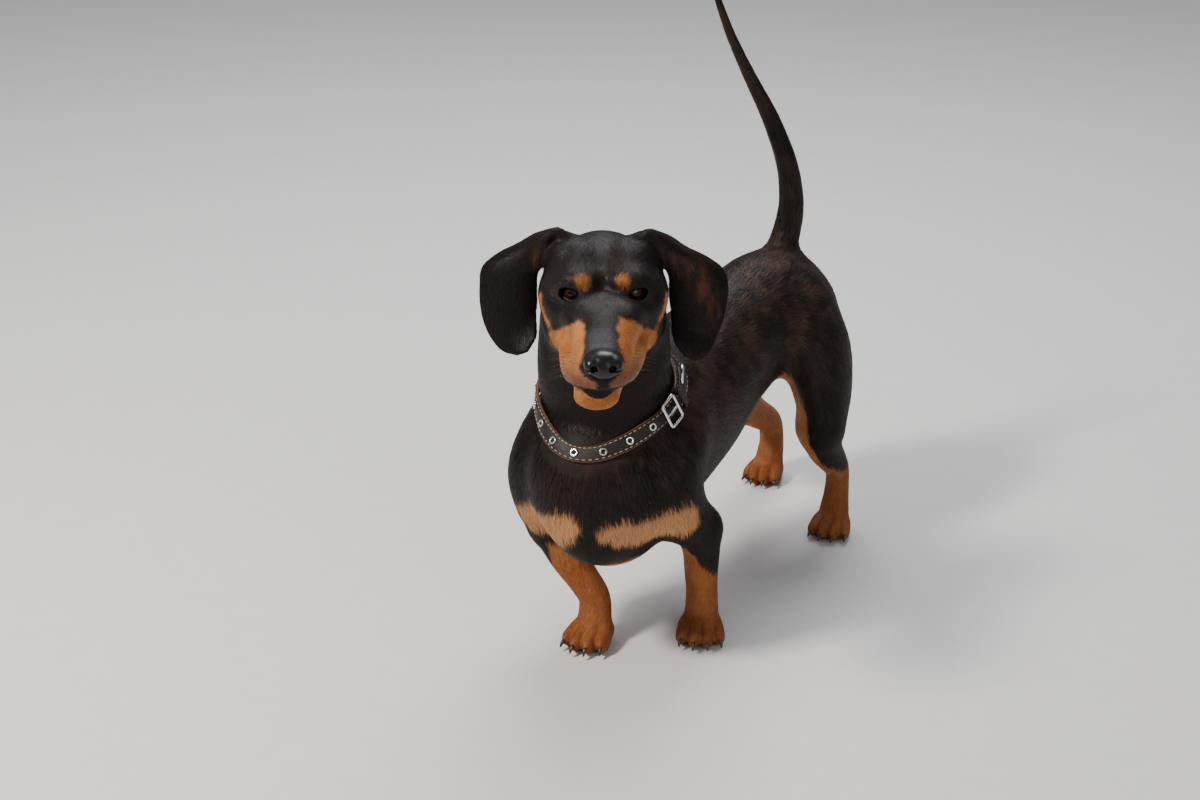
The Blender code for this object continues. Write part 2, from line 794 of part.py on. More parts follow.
def graded_axis(low, fine_low, fine_high, high):
    """Grid places along one axis, close together where the head is."""
    return np.concatenate([
        np.arange(low, fine_low, BODY_GRID),
        np.arange(fine_low, fine_high, HEAD_GRID),
        np.arange(fine_high, high + BODY_GRID, BODY_GRID),
    ])


def carve_face(field):
    """Lid openings and the line of the mouth."""
    for mirror in (1, -1):
        axes = eye_axes(mirror)
        centre = head_point(EYE_CENTRE[0], EYE_CENTRE[1] * mirror, EYE_CENTRE[2])
        centre = centre + axes[0] * LID_OPENING_AHEAD * MM
        field.carve(Ball(centre, millimetres(LID_OPENING), axes), LID_EDGE_BLEND * MM)
        line = [(f, s * mirror + swing(f), u, MOUTH_RADIUS, MOUTH_RADIUS) for f, s, u in MOUTH_LINE]
        field.carve(Limb(head_rows(line)), MOUTH_BLEND * MM)


def flesh_field():
    """The whole animal as one field, flat under its soles."""
    field = Field(
        graded_axis(*SPACE_X),
        graded_axis(*SPACE_Y),
        graded_axis(*SPACE_Z),
    )
    for shape, blend in body_forms() + head_forms():
        field.join(shape, blend * MM)
    for mirror in (1, -1):
        field.join(ear_plate(mirror), EAR_BLEND * MM)
        field.carve(head_ball(EAR_CUP, EAR_CUP_RADII, mirror), EAR_CUP_BLEND * MM)
    carve_face(field)
    floor = np.broadcast_to(-SOLE_SINK - field.axes[2], field.values.shape)
    field.values = np.maximum(field.values, floor)
    return field


def mesh_object(name, vertices, faces):
    mesh = bpy.data.meshes.new(name)
    mesh.from_pydata([tuple(map(float, v)) for v in vertices], [], [tuple(map(int, f)) for f in faces])
    mesh.update()
    thing = bpy.data.objects.new(name, mesh)
    bpy.context.scene.collection.objects.link(thing)
    return thing


def apply_modifiers(thing):
    graph = bpy.context.evaluated_depsgraph_get()
    baked = bpy.data.meshes.new_from_object(thing.evaluated_get(graph))
    thing.modifiers.clear()
    thing.data = baked


def decimated(thing, triangles):
    tris = sum(len(p.vertices) - 2 for p in thing.data.polygons)
    modifier = thing.modifiers.new("thin_out", "DECIMATE")
    modifier.ratio = min(1.0, triangles / tris)
    modifier.use_collapse_triangulate = True
    apply_modifiers(thing)
    return thing


def subtract(thing, cutter, solver="EXACT"):
    cutter.hide_render = True
    cutter.display_type = "WIRE"
    modifier = thing.modifiers.new("cut", "BOOLEAN")
    modifier.operation = "DIFFERENCE"
    modifier.solver = solver
    modifier.object = cutter
    apply_modifiers(thing)
    return thing


def joined_mesh(name, pieces):
    """One object from (vertices, faces) pairs."""
    vertices = []
    faces = []
    for piece_vertices, piece_faces in pieces:
        base = len(vertices)
        vertices += list(piece_vertices)
        faces += [tuple(base + i for i in face) for face in piece_faces]
    return mesh_object(name, vertices, faces)


def box_piece(centre, axes, sizes):
    """A box by its centre, its axes as rows and its full sizes."""
    corners = []
    for a in (-0.5, 0.5):
        for b in (-0.5, 0.5):
            for c in (-0.5, 0.5):
                corners.append(np.asarray(centre) + np.array([a, b, c]) * sizes @ np.asarray(axes))
    faces = [(0, 1, 3, 2), (4, 6, 7, 5), (0, 4, 5, 1), (2, 3, 7, 6), (0, 2, 6, 4), (1, 5, 7, 3)]
    return corners, faces


def slab_piece(centre, normal, width, depth):
    """A thin box that parts the body at a place; the normal points along the limb."""
    reference = (0.0, 0.0, 1.0) if abs(unit(normal)[2]) < 0.8 else (0.0, -1.0, 0.0)
    axes = axes_from(normal, reference)
    return box_piece(millimetres(centre), axes, (SLAB_THICKNESS, width * MM, depth * MM))


def ball_piece(centre, radii, axes, around, rings):
    points = [np.array([1.0, 0.0, 0.0])]
    for i in range(1, rings):
        polar = math.pi * i / rings
        for j in range(around):
            turn = math.tau * j / around
            points.append(np.array([math.cos(polar), math.sin(polar) * math.cos(turn),
                                    math.sin(polar) * math.sin(turn)]))
    points.append(np.array([-1.0, 0.0, 0.0]))
    faces = [(0, 1 + j, 1 + (j + 1) % around) for j in range(around)]
    for i in range(rings - 2):
        a = 1 + i * around
        b = a + around
        faces += [(a + j, b + j, b + (j + 1) % around, a + (j + 1) % around) for j in range(around)]
    last = len(points) - 1
    a = 1 + (rings - 2) * around
    faces += [(last, a + (j + 1) % around, a + j) for j in range(around)]
    places = [np.asarray(centre) + point * np.asarray(radii) @ np.asarray(axes) for point in points]
    return places, faces


def tube_piece(path, radii, around, reference):
    """A round tube along a path with closed ends."""
    path = np.asarray(path, float)
    points = []
    for i, place in enumerate(path):
        along = unit(path[min(i + 1, len(path) - 1)] - path[max(i - 1, 0)])
        side = unit(np.cross(reference, along))
        rise = np.cross(along, side)
        for j in range(around):
            turn = math.tau * j / around
            points.append(place + (side * math.cos(turn) + rise * math.sin(turn)) * radii[i])
    faces = [tuple(reversed(range(around)))]
    for i in range(len(path) - 1):
        a = i * around
        faces += [(a + j, a + (j + 1) % around, a + around + (j + 1) % around, a + around + j)
                  for j in range(around)]
    last = (len(path) - 1) * around
    faces.append(tuple(last + j for j in range(around)))
    return points, faces


def ring_piece(path, side, rise, around_profile):
    """A closed loop: a profile of (side, rise) offsets carried round a ring of places."""
    count = len(path)
    points = []
    for i in range(count):
        for a, b in around_profile:
            points.append(path[i] + side[i] * a + rise[i] * b)
    n = len(around_profile)
    faces = []
    for i in range(count):
        a = i * n
        b = ((i + 1) % count) * n
        faces += [(a + j, a + (j + 1) % n, b + (j + 1) % n, b + j) for j in range(n)]
    return points, faces


def islands(thing):
    """Closed surfaces of an object as (vertices, faces) pairs with their volumes."""
    graph = bmesh.new()
    graph.from_mesh(thing.data)
    graph.faces.ensure_lookup_table()
    seen = set()
    out = []
    for start in graph.faces:
        if start.index in seen:
            continue
        stack = [start]
        seen.add(start.index)
        group = []
        while stack:
            face = stack.pop()
            group.append(face)
            for edge in face.edges:
                for other in edge.link_faces:
                    if other.index not in seen:
                        seen.add(other.index)
                        stack.append(other)
        number = {}
        vertices = []
        faces = []
        volume = 0.0
        for face in group:
            ring = []
            for vert in face.verts:
                if vert.index not in number:
                    number[vert.index] = len(vertices)
                    vertices.append(np.array(vert.co))
                ring.append(number[vert.index])
            faces.append(tuple(ring))
            for k in range(1, len(ring) - 1):
                a, b, c = vertices[ring[0]], vertices[ring[k]], vertices[ring[k + 1]]
                volume += float(np.dot(a, np.cross(b, c))) / 6.0
        out.append((volume, vertices, faces))
    graph.free()
    return out


def part_cutters():
    """Thin slabs between the named solids, the ear cuts and the floor under the soles."""
    pieces = [slab_piece(*cut) for cut in CUTS]
    for mirror in (1, -1):
        normal = np.array([0.0, mirror, math.tan(math.radians(EAR_CUT_LEAN))]) @ HEAD_AXES
        axes = axes_from(normal, HEAD_AXES[2])
        f, s, u = EAR_CUT
        sizes = (SLAB_THICKNESS, EAR_CUT_SIZES[0] * MM, EAR_CUT_SIZES[1] * MM)
        pieces.append(box_piece(head_point(f, s * mirror, u), axes, sizes))
    pieces.append(box_piece((0.0, 0.0, -0.5 * FLOOR_CUT[2]), np.eye(3), FLOOR_CUT))
    return joined_mesh("part_cutters", pieces)


def build_flesh():
    field = flesh_field()
    vertices, quads = surface_net(field.values, field.axes)
    whole = decimated(mesh_object("whole", vertices, quads), FLESH_TRIANGLES)
    return whole


class Band:
    """The strap's path round the neck, sampled as places with along, across and outward axes."""

    def __init__(self, neck_tree):
        centre = millimetres(COLLAR_CENTRE)
        axis = unit(COLLAR_NORMAL)
        side = unit(np.array([1.0, 0.0, 0.0]) - axis[0] * axis)
        back = np.cross(axis, side)
        edge = 0.5 * STRAP_WIDTH * MM
        rows = []
        for height in (-edge, 0.0, edge):
            ring = []
            for i in range(COLLAR_SAMPLES):
                turn = math.tau * i / COLLAR_SAMPLES - 0.5 * math.pi
                outward = side * math.cos(turn) + back * math.sin(turn)
                start = centre + axis * height + outward * SAMPLE_REACH
                hit = neck_tree.ray_cast(Vector(start), Vector(-outward))
                ring.append(SAMPLE_REACH - hit[3])
            rows.append(self.rounded(ring))
        low, middle, high = rows
        bulge = np.maximum(middle - 0.5 * (low + high), 0.0)
        clear = STRAP_CLEARANCE * MM + bulge
        self.low = []
        self.high = []
        for i in range(COLLAR_SAMPLES):
            turn = math.tau * i / COLLAR_SAMPLES - 0.5 * math.pi
            outward = side * math.cos(turn) + back * math.sin(turn)
            self.low.append(centre - axis * edge + outward * (low[i] + clear[i]))
            self.high.append(centre + axis * edge + outward * (high[i] + clear[i]))
        self.low = np.array(self.low)
        self.high = np.array(self.high)
        self.middle = 0.5 * (self.low + self.high)
        self.along = np.roll(self.middle, -1, 0) - np.roll(self.middle, 1, 0)
        self.along /= np.linalg.norm(self.along, axis=1)[:, None]
        across = self.high - self.low
        across -= (across * self.along).sum(1)[:, None] * self.along
        self.across = across / np.linalg.norm(across, axis=1)[:, None]
        self.out = np.cross(self.along, self.across)
        steps = np.linalg.norm(np.roll(self.middle, -1, 0) - self.middle, axis=1)
        self.stations = np.concatenate([[0.0], np.cumsum(steps)])

    @staticmethod
    def rounded(ring):
        """The ring's radii smoothed with their neighbours, never drawn in much."""
        ring = np.array(ring)
        total = np.zeros(len(ring))
        weight = 0.0
        for shift in range(-COLLAR_SMOOTHING, COLLAR_SMOOTHING + 1):
            share = math.exp(-0.5 * (shift / COLLAR_SMOOTHING_WIDTH) ** 2)
            total += share * np.roll(ring, shift)
            weight += share
        return total / weight

    def at(self, station):
        """Place, along, across and outward at millimetres of strap from the throat."""
        station = (station * MM) % self.stations[-1]
        i = int(np.searchsorted(self.stations, station, side="right")) - 1
        t = (station - self.stations[i]) / (self.stations[i + 1] - self.stations[i])
        j = (i + 1) % COLLAR_SAMPLES
        place = self.middle[i] * (1 - t) + self.middle[j] * t
        along = unit(self.along[i] * (1 - t) + self.along[j] * t)
        across = self.across[i] * (1 - t) + self.across[j] * t
        across = unit(across - np.dot(across, along) * along)
        return place, along, across, np.cross(along, across)

    def point(self, station, across, out):
        place, _, axis, outward = self.at(station)
        return place + (axis * across + outward * out) * MM

    def ring(self, profile):
        return ring_piece(self.middle, self.across, self.out, np.asarray(profile) * MM)


def strap_profile(grow=0.0):
    """Corner-rounded strap section as (across, outward) pairs."""
    half = 0.5 * STRAP_WIDTH + grow
    low = -grow
    high = STRAP_THICKNESS + grow
    trim = STRAP_CORNER
    return [(-half, low), (-half, high - trim), (-half + trim, high),
            (half - trim, high), (half, high - trim), (half, low)]


def bent_bar(band, start, finish, across, low, high, steps):
    """A flat bar that follows the strap's face between two stations."""
    points = []
    for station in np.linspace(start, finish, steps + 1):
        for a, b in ((-across, low), (-across, high), (across, high), (across, low)):
            points.append(band.point(station, a, b))
    faces = [(0, 1, 2, 3)]
    for i in range(steps):
        a = 4 * i
        faces += [(a + j, a + 4 + j, a + 4 + (j + 1) % 4, a + (j + 1) % 4) for j in range(4)]
    last = 4 * steps
    faces.append((last + 3, last + 2, last + 1, last))
    return points, faces


def outward_faces(thing):
    """Turn every face of a closed mesh to point out of its solid."""
    graph = bmesh.new()
    graph.from_mesh(thing.data)
    bmesh.ops.recalc_face_normals(graph, faces=graph.faces)
    if graph.calc_volume(signed=True) < 0.0:
        bmesh.ops.reverse_faces(graph, faces=graph.faces)
    graph.to_mesh(thing.data)
    graph.free()
    return thing


def wire_loop(name, places, radius, sides=WIRE_SIDES):
    """A closed wire through the given places."""
    places = np.asarray(places)
    forward = np.roll(places, -1, 0) - np.roll(places, 1, 0)
    forward /= np.linalg.norm(forward, axis=1)[:, None]
    normal = unit(np.linalg.svd(places - places.mean(0))[2][2])
    side = np.cross(forward, normal)
    side /= np.linalg.norm(side, axis=1)[:, None]
    rise = np.cross(side, forward)
    profile = [(radius * math.cos(math.tau * k / sides), radius * math.sin(math.tau * k / sides))
               for k in range(sides)]
    return outward_faces(mesh_object(name, *ring_piece(places, side, rise, profile)))


def build_collar(band):
    """Strap, free end, keeper, buckle, ring and eyelets."""
    strap = outward_faces(mesh_object("collar_strap", *band.ring(strap_profile())))
    face = STRAP_THICKNESS
    cutters = []
    made = [strap]
    for k in range(EYELET_COUNT):
        station = EYELET_FIRST - EYELET_PITCH * k
        place, along, across, out = band.at(station)
        foot = place + out * (face + EYELET_LIFT) * MM
        points = []
        faces = []
        for j in range(EYELET_SIDES):
            turn = math.tau * j / EYELET_SIDES
            ray = along * math.cos(turn) + across * math.sin(turn)
            points += [foot + ray * EYELET_HOLE * MM, foot + ray * EYELET_OUTER * MM,
                       foot + (ray * (EYELET_OUTER - EYELET_LIP[0]) + out * EYELET_THICKNESS) * MM,
                       foot + (ray * (EYELET_HOLE + EYELET_LIP[1]) + out * EYELET_THICKNESS) * MM]
            a = 4 * j
            b = 4 * ((j + 1) % EYELET_SIDES)
            faces += [(a + m, a + (m + 1) % 4, b + (m + 1) % 4, b + m) for m in range(4)]
        made.append(outward_faces(mesh_object(f"eyelet_{k + 1}", points, faces)))
        path = [place - out * HOLE_PAST * MM, place + out * (face + HOLE_PAST) * MM]
        cutters.append(tube_piece(path, [EYELET_HOLE * MM] * 2, HOLE_SIDES, across))
    holes = outward_faces(joined_mesh("eyelet_holes", cutters))
    subtract(strap, holes)
    bpy.data.objects.remove(holes)
    end_low = face + END_LIFT
    end_high = end_low + END_THICKNESS
    half = 0.5 * STRAP_WIDTH - END_INSET
    end = mesh_object("collar_end", *bent_bar(band, END_TIP, END_BASE, half, end_low, end_high, END_STEPS))
    made.append(outward_faces(end))
    made.append(build_keeper(band, end_high + KEEPER_HEADROOM))
    made += build_buckle(band, face)
    return made


def build_keeper(band, inside):
    """A leather loop over the strap's face and edges."""
    edge = 0.5 * STRAP_WIDTH + KEEPER_CLEARANCE
    wall = KEEPER_WALL
    low = KEEPER_LIFT
    section = [(-edge - wall, low), (-edge - wall, inside + wall), (edge + wall, inside + wall),
               (edge + wall, low), (edge, low), (edge, inside), (-edge, inside), (-edge, low)]
    points = []
    for station in (KEEPER_PLACE - 0.5 * KEEPER_LENGTH, KEEPER_PLACE + 0.5 * KEEPER_LENGTH):
        points += [band.point(station, a, b) for a, b in section]
    n = len(section)
    faces = [(0, 1, 6, 7), (1, 2, 5, 6), (2, 3, 4, 5)]
    faces += [tuple(n + i for i in reversed(face)) for face in faces]
    faces += [(j, n + j, n + (j + 1) % n, (j + 1) % n) for j in range(n)]
    return outward_faces(mesh_object("collar_keeper", points, faces))


def build_buckle(band, face):
    """Buckle frame and prong past the strap's free end, and the lead ring on its loop."""
    lift = face + BUCKLE_WIRE + BUCKLE_LIFT
    corner = BUCKLE_CORNER
    half_long = 0.5 * BUCKLE_LENGTH
    half_wide = 0.5 * BUCKLE_WIDTH
    place, along, across, out = band.at(BUCKLE_PLACE)
    centre = place + out * lift * MM
    loop = []
    for sign_a, sign_b, start in ((1, 1, 0.0), (-1, 1, 90.0), (-1, -1, 180.0), (1, -1, 270.0)):
        for k in range(BUCKLE_CORNER_STEPS):
            turn = math.radians(start + 90.0 * k / (BUCKLE_CORNER_STEPS - 1))
            a = sign_a * (half_long - corner) + corner * math.cos(turn)
            b = sign_b * (half_wide - corner) + corner * math.sin(turn)
            loop.append(centre + (along * a + across * b) * MM)
    frame = wire_loop("buckle_frame", loop, BUCKLE_WIRE * MM)
    reach = half_long - BUCKLE_WIRE - PRONG_CLEARANCE
    path = [centre + along * a * MM for a in (-reach, reach)]
    prong = mesh_object("buckle_prong", *tube_piece(path, [PRONG_WIRE * MM] * 2, PRONG_SIDES, across))
    place, along, across, out = band.at(D_RING_PLACE)
    centre = place + (out * (face + D_RING_LIFT + D_RING_WIRE) + across * D_RING_ASIDE) * MM
    lean = unit(across * D_RING_LEAN[0] + out * D_RING_LEAN[1])
    arc = []
    for k in range(D_RING_STEPS + 1):
        turn = math.pi * k / D_RING_STEPS
        arc.append(centre + (along * math.cos(turn) + lean * math.sin(turn)) * D_RING_RADIUS * MM)
    arc += [centre + along * a * MM for a in (-D_RING_BAR, 0.0, D_RING_BAR)]
    ring = wire_loop("d_ring", arc, D_RING_WIRE * MM)
    return [frame, outward_faces(prong), ring]


def claw_piece(x, y, heading, scale, toe, grow):
    """One curved claw of a paw, thickened by grow."""
    s, f, turn = toe
    ahead, left, _ = heading_axes(heading)
    toe_ahead, toe_left, _ = heading_axes(heading + turn)
    foot = np.array([x, y, 0.0]) * MM + (ahead * f + left * s) * MM * scale
    path = []
    for reach, rise in CLAW_PATH:
        path.append(foot + toe_ahead * reach * MM * scale + np.array([0.0, 0.0, rise * MM * scale]))
    path = np.array(path)
    if grow > 0.0:
        path[0] -= unit(path[1] - path[0]) * grow
        path[-1] += unit(path[-1] - path[-2]) * grow
    radii = [radius * MM * scale + grow for radius in CLAW_RADII]
    return tube_piece(path, radii, CLAW_SIDES, toe_left)


def nose_forms():
    """The leather's round front, its base and its wings."""
    forms = [(head_ball(NOSE_CENTRE, NOSE_RADII), 0.0), (head_ball(NOSE_BASE, NOSE_BASE_RADII), NOSE_BASE_BLEND)]
    for mirror in (1, -1):
        forms.append((head_ball(NOSE_WING, NOSE_WING_RADII, mirror), NOSE_WING_BLEND))
    return forms


def nose_carvings():
    """The groove down the middle, the nostrils and their side slits."""
    groove = [(f, s, u, NOSE_GROOVE_RADIUS, NOSE_GROOVE_RADIUS) for f, s, u in NOSE_GROOVE]
    cuts = [Limb(head_rows(groove))]
    for mirror in (1, -1):
        cuts.append(head_ball(NOSTRIL, NOSTRIL_RADII, mirror))
        slit = [(f, s * mirror, u, NOSTRIL_SLIT_RADIUS, NOSTRIL_SLIT_RADIUS) for f, s, u in NOSTRIL_SLIT]
        cuts.append(Limb(head_rows(slit)))
    return cuts


def build_nose():
    """The nose leather and the cutter of its bed."""
    low = np.min([shape.bounds()[0] for shape, _ in nose_forms()], 0) - NOSE_MARGIN
    high = np.max([shape.bounds()[1] for shape, _ in nose_forms()], 0) + NOSE_MARGIN
    field = Field(*[np.arange(a, b, NOSE_GRID) for a, b in zip(low, high)])
    for shape, blend in nose_forms():
        field.join(shape, blend * MM)
    socket_net = surface_net(field.values - PART_GAP, field.axes)
    for shape in nose_carvings():
        field.carve(shape, NOSTRIL_BLEND * MM)
    nose = mesh_object("nose", *surface_net(field.values, field.axes))
    socket = mesh_object("nose_socket", *socket_net)
    decimated(nose, NOSE_TRIANGLES)
    decimated(socket, NOSE_TRIANGLES)
    return nose, socket


def build_eyes():
    """The eyeballs and the cutter of their sockets."""
    eyes = []
    sockets = []
    for side, mirror in (("left", 1), ("right", -1)):
        axes = eye_axes(mirror)
        centre = head_point(EYE_CENTRE[0], EYE_CENTRE[1] * mirror, EYE_CENTRE[2])
        piece = ball_piece(centre, (EYE_RADIUS,) * 3, axes, EYE_SIDES, EYE_RINGS)
        eyes.append(outward_faces(mesh_object(f"eye_{side}", *piece)))
        sockets.append(ball_piece(centre, (EYE_RADIUS + EYE_SOCKET_GAP,) * 3, axes, EYE_SIDES, EYE_RINGS))
    return eyes, outward_faces(joined_mesh("eye_sockets", sockets))


def build_claws():
    """Four claws to a paw, and each paw's cutter of claw beds."""
    claws = []
    sockets = {}
    for name, (x, y, heading, scale) in PAWS.items():
        holes = []
        for k, toe in enumerate(TOES):
            piece = claw_piece(x, y, heading, scale, toe, 0.0)
            claws.append(outward_faces(mesh_object(f"claw_{name.replace('paw', '')}_{k + 1}", *piece)))
            holes.append(claw_piece(x, y, heading, scale, toe, PART_GAP))
        sockets[name] = outward_faces(joined_mesh(f"{name}_sockets", holes))
    return claws, sockets


def material(name, colour, roughness, metallic):
    made = bpy.data.materials.new(name)
    made.use_nodes = True
    shader = made.node_tree.nodes["Principled BSDF"]
    shader.inputs["Base Color"].default_value = (*colour, 1.0)
    shader.inputs["Roughness"].default_value = roughness
    shader.inputs["Metallic"].default_value = metallic
    made.diffuse_color = (*colour, 1.0)
    made.metallic = metallic
    made.roughness = roughness
    return made


COLOURS = {
    "eye": ((0.030, 0.012, 0.006), 0.12, 0.0),
    "nose": ((0.012, 0.012, 0.014), 0.35, 0.0),
    "claw": ((0.030, 0.024, 0.020), 0.40, 0.0),
    "collar": ((0.045, 0.022, 0.013), 0.55, 0.0),
    "eyelet": ((0.72, 0.72, 0.70), 0.25, 1.0),
    "buckle": ((0.72, 0.72, 0.70), 0.25, 1.0),
    "d": ((0.72, 0.72, 0.70), 0.25, 1.0),
    "paw": ((0.330, 0.105, 0.035), 0.60, 0.0),
    "coat": ((0.016, 0.013, 0.012), 0.50, 0.0),
}
TAN_NODES = ("foreleg", "forepaw", "hindpaw", "shank")


def finish(things):
    """Give each thing its own material by the first word of its name."""
    for thing in things:
        key = thing.name.split("_")[0]
        if key in TAN_NODES:
            key = "paw"
        colour, roughness, metallic = COLOURS.get(key, COLOURS["coat"])
        thing.data.materials.clear()
        thing.data.materials.append(material(f"{thing.name}_finish", colour, roughness, metallic))


def named_flesh(whole):
    """Name each closed solid by the seed nearest its middle, keeping the largest of each."""
    found = {}
    for volume, vertices, faces in sorted(islands(whole), key=lambda entry: -entry[0]):
        middle = np.mean(vertices, 0)
        name = min(SEEDS, key=lambda seed: np.linalg.norm(millimetres(SEEDS[seed]) - middle))
        if name not in found:
            found[name] = mesh_object(name, vertices, faces)
    bpy.data.objects.remove(whole)
    return found


def keep_largest(thing):
    """The thing without the slivers that a cut left beside it."""
    entries = sorted(islands(thing), key=lambda entry: -entry[0])
    if len(entries) > 1:
        name = thing.name
        bpy.data.objects.remove(thing)
        return mesh_object(name, entries[0][1], entries[0][2])
    return thing


def main():
    for thing in list(bpy.data.objects):
        bpy.data.objects.remove(thing)
    whole = build_flesh()
    faces = [face.vertices[:] for face in whole.data.polygons]
    band = Band(BVHTree.FromPolygons([vertex.co for vertex in whole.data.vertices], faces))
    cutters = outward_faces(part_cutters())
    subtract(whole, cutters)
    bpy.data.objects.remove(cutters)
    solids = named_flesh(whole)
    eyes, eye_sockets = build_eyes()
    nose, nose_socket = build_nose()
    claws, claw_sockets = build_claws()
    groove = outward_faces(mesh_object("groove", *band.ring(strap_profile(PART_GAP / MM))))
    beds = [("head", eye_sockets), ("head", nose_socket), ("neck", groove), *claw_sockets.items()]
    for name, cutter in beds:
        subtract(solids[name], cutter)
        bpy.data.objects.remove(cutter)
    for name in solids:
        solids[name] = keep_largest(solids[name])
    collar = build_collar(band)
    things = [*solids.values(), *eyes, nose, *claws, *collar]
    shift = np.array(CENTRING_SHIFT)
    for thing in things:
        for vertex in thing.data.vertices:
            vertex.co += Vector(shift)
    finish(things)


main()
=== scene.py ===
"""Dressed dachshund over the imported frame: one coated skin, eyes, nose, claws and a stitched collar."""
import logging
import math
from dataclasses import dataclass
from enum import Enum

import bmesh
import bpy
import numpy as np
from mathutils import Matrix, Vector
from mathutils.bvhtree import BVHTree


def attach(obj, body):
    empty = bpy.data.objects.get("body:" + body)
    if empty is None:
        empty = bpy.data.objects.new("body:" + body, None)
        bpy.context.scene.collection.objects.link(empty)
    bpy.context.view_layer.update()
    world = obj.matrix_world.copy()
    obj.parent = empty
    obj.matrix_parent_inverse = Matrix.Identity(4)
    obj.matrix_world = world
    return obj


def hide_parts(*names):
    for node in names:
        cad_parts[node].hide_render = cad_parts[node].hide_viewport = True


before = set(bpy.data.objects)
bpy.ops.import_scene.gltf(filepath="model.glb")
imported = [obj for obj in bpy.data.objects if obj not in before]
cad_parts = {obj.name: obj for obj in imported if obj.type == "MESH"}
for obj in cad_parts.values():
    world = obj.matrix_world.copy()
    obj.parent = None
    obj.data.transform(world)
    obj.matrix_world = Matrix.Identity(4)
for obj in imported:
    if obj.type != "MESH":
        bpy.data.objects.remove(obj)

# Short names of types
Array = np.ndarray
Thing = bpy.types.Object
Solid = tuple[list, list]
Socket = bpy.types.NodeSocket

LOG = logging.getLogger("dachshund")
MM = 0.001
CENTRING_SHIFT = np.array((10.3, -12.2, 0.0)) * MM

# Head placing
EYE_MIDPOINT = np.array((7.6, -162.9, 327.0)) * MM
HEAD_HEADING = 28.5
HEAD_PITCH = 3.0

# Grid of the skin
HEAD_GRID = 1.0 * MM
BODY_GRID = 2.4 * MM
SOLE_LIFT = 0.3 * MM


def unit(v: Array) -> Array:
    """The vector at length one."""
    v = np.asarray(v, float)
    return v / np.linalg.norm(v)


def lengths(rows: Array) -> Array:
    """Length of each row."""
    return np.linalg.norm(rows, axis=1)


def units(rows: Array) -> Array:
    """Rows of vectors, each at length one."""
    return rows / (lengths(rows)[:, None] + 1e-12)


def axes_from(forward: Array, up: Array) -> Array:
    """Rows forward, left and up of a right-handed frame."""
    ahead = unit(forward)
    left = unit(np.cross(up, ahead))
    return np.array([ahead, left, np.cross(ahead, left)])


def heading_axes(yaw_degrees: float, pitch_degrees: float = 0.0) -> Array:
    """Axes that look along a heading, 0 along -Y and 90 along +X."""
    yaw = math.radians(yaw_degrees)
    pitch = math.radians(pitch_degrees)
    ahead = (math.sin(yaw) * math.cos(pitch), -math.cos(yaw) * math.cos(pitch), math.sin(pitch))
    return axes_from(ahead, (0.0, 0.0, 1.0))


HEAD_AXES = heading_axes(HEAD_HEADING, HEAD_PITCH)


def head_point(f: float, s: float, u: float) -> Array:
    """A place on the head, in millimetres ahead, left and up of the eye midpoint."""
    return EYE_MIDPOINT + np.array([f, s, u]) * MM @ HEAD_AXES


def head_places(points: Array) -> Array:
    """Points as millimetres ahead, left and up of the eye midpoint."""
    return (points - EYE_MIDPOINT) @ HEAD_AXES.T / MM


def metres(rows: object) -> Array:
    """Numbers given in millimetres as metres."""
    return np.asarray(rows, float) * MM


def ease(low: float, high: float, x: Array) -> Array:
    """0 below low, 1 above high and a smooth change between."""
    t = np.clip((x - low) / (high - low), 0.0, 1.0)
    return t * t * (3.0 - 2.0 * t)


CORNERS = [(a, b, c) for a in (0, 1) for b in (0, 1) for c in (0, 1)]


def corner_share(columns: list[Array], corner: tuple) -> Array:
    """Share of one corner of a cell at places given by three columns from 0 to 1."""
    x, y, z = (t if far else 1 - t for t, far in zip(columns, corner))
    return x * y * z


def lattice_noise(points: Array, size: float, seed: int) -> Array:
    """Smooth noise from -1 to 1.

    Args:
        points: Places in metres.
        size: Width of its features in metres.
        seed: Which noise.

    Returns:
        One value for each place.
    """
    scaled = points / size + seed * 7.31
    base = np.floor(scaled)
    t = scaled - base
    t = t * t * (3.0 - 2.0 * t)
    total = np.zeros(len(points))
    for corner in CORNERS:
        value = np.sin((base + corner) @ (127.1, 311.7, 74.7)) * 43758.5453
        total += corner_share(t.T, corner) * (value - np.floor(value))
    return total * 2.0 - 1.0


class Ball:
    """Ellipsoid field with its own axes as rows."""

    def __init__(self, centre: Array, radii: Array, axes: Array | None = None) -> None:
        """Keep the centre, radii and axes."""
        self.centre = np.asarray(centre, float)
        self.radii = np.asarray(radii, float)
        self.axes = np.eye(3) if axes is None else np.asarray(axes, float)

    def bounds(self) -> tuple[Array, Array]:
        """Lowest and highest corner."""
        reach = np.sqrt(((self.axes.T * self.radii) ** 2).sum(1))
        return self.centre - reach, self.centre + reach

    def distance(self, points: Array) -> Array:
        """About how far each point is outside."""
        local = (points - self.centre) @ self.axes.T
        k0 = lengths(local / self.radii)
        k1 = lengths(local / self.radii ** 2) + 1e-9
        return k0 * (k0 - 1.0) / k1


def smooth_curve(rows: Array, steps: int) -> list[Array]:
    """Rows on a smooth curve from the second given one up to the last but one."""
    out = []
    for a, b, c, d in zip(rows, rows[1:], rows[2:], rows[3:]):
        for t in np.arange(steps) / steps:
            out.append(0.5 * (2 * b + (c - a) * t + (2 * a - 5 * b + 4 * c - d) * t ** 2
                              + (3 * b - a - 3 * c + d) * t ** 3))
    return out


def smooth_stations(rows: Array, steps: int) -> Array:
    """Rows on a smooth curve through the given ones."""
    rows = np.asarray(rows, float)
    padded = np.vstack([2 * rows[0] - rows[1], rows, 2 * rows[-1] - rows[-2]])
    return np.array(smooth_curve(padded, steps) + [rows[-1]])


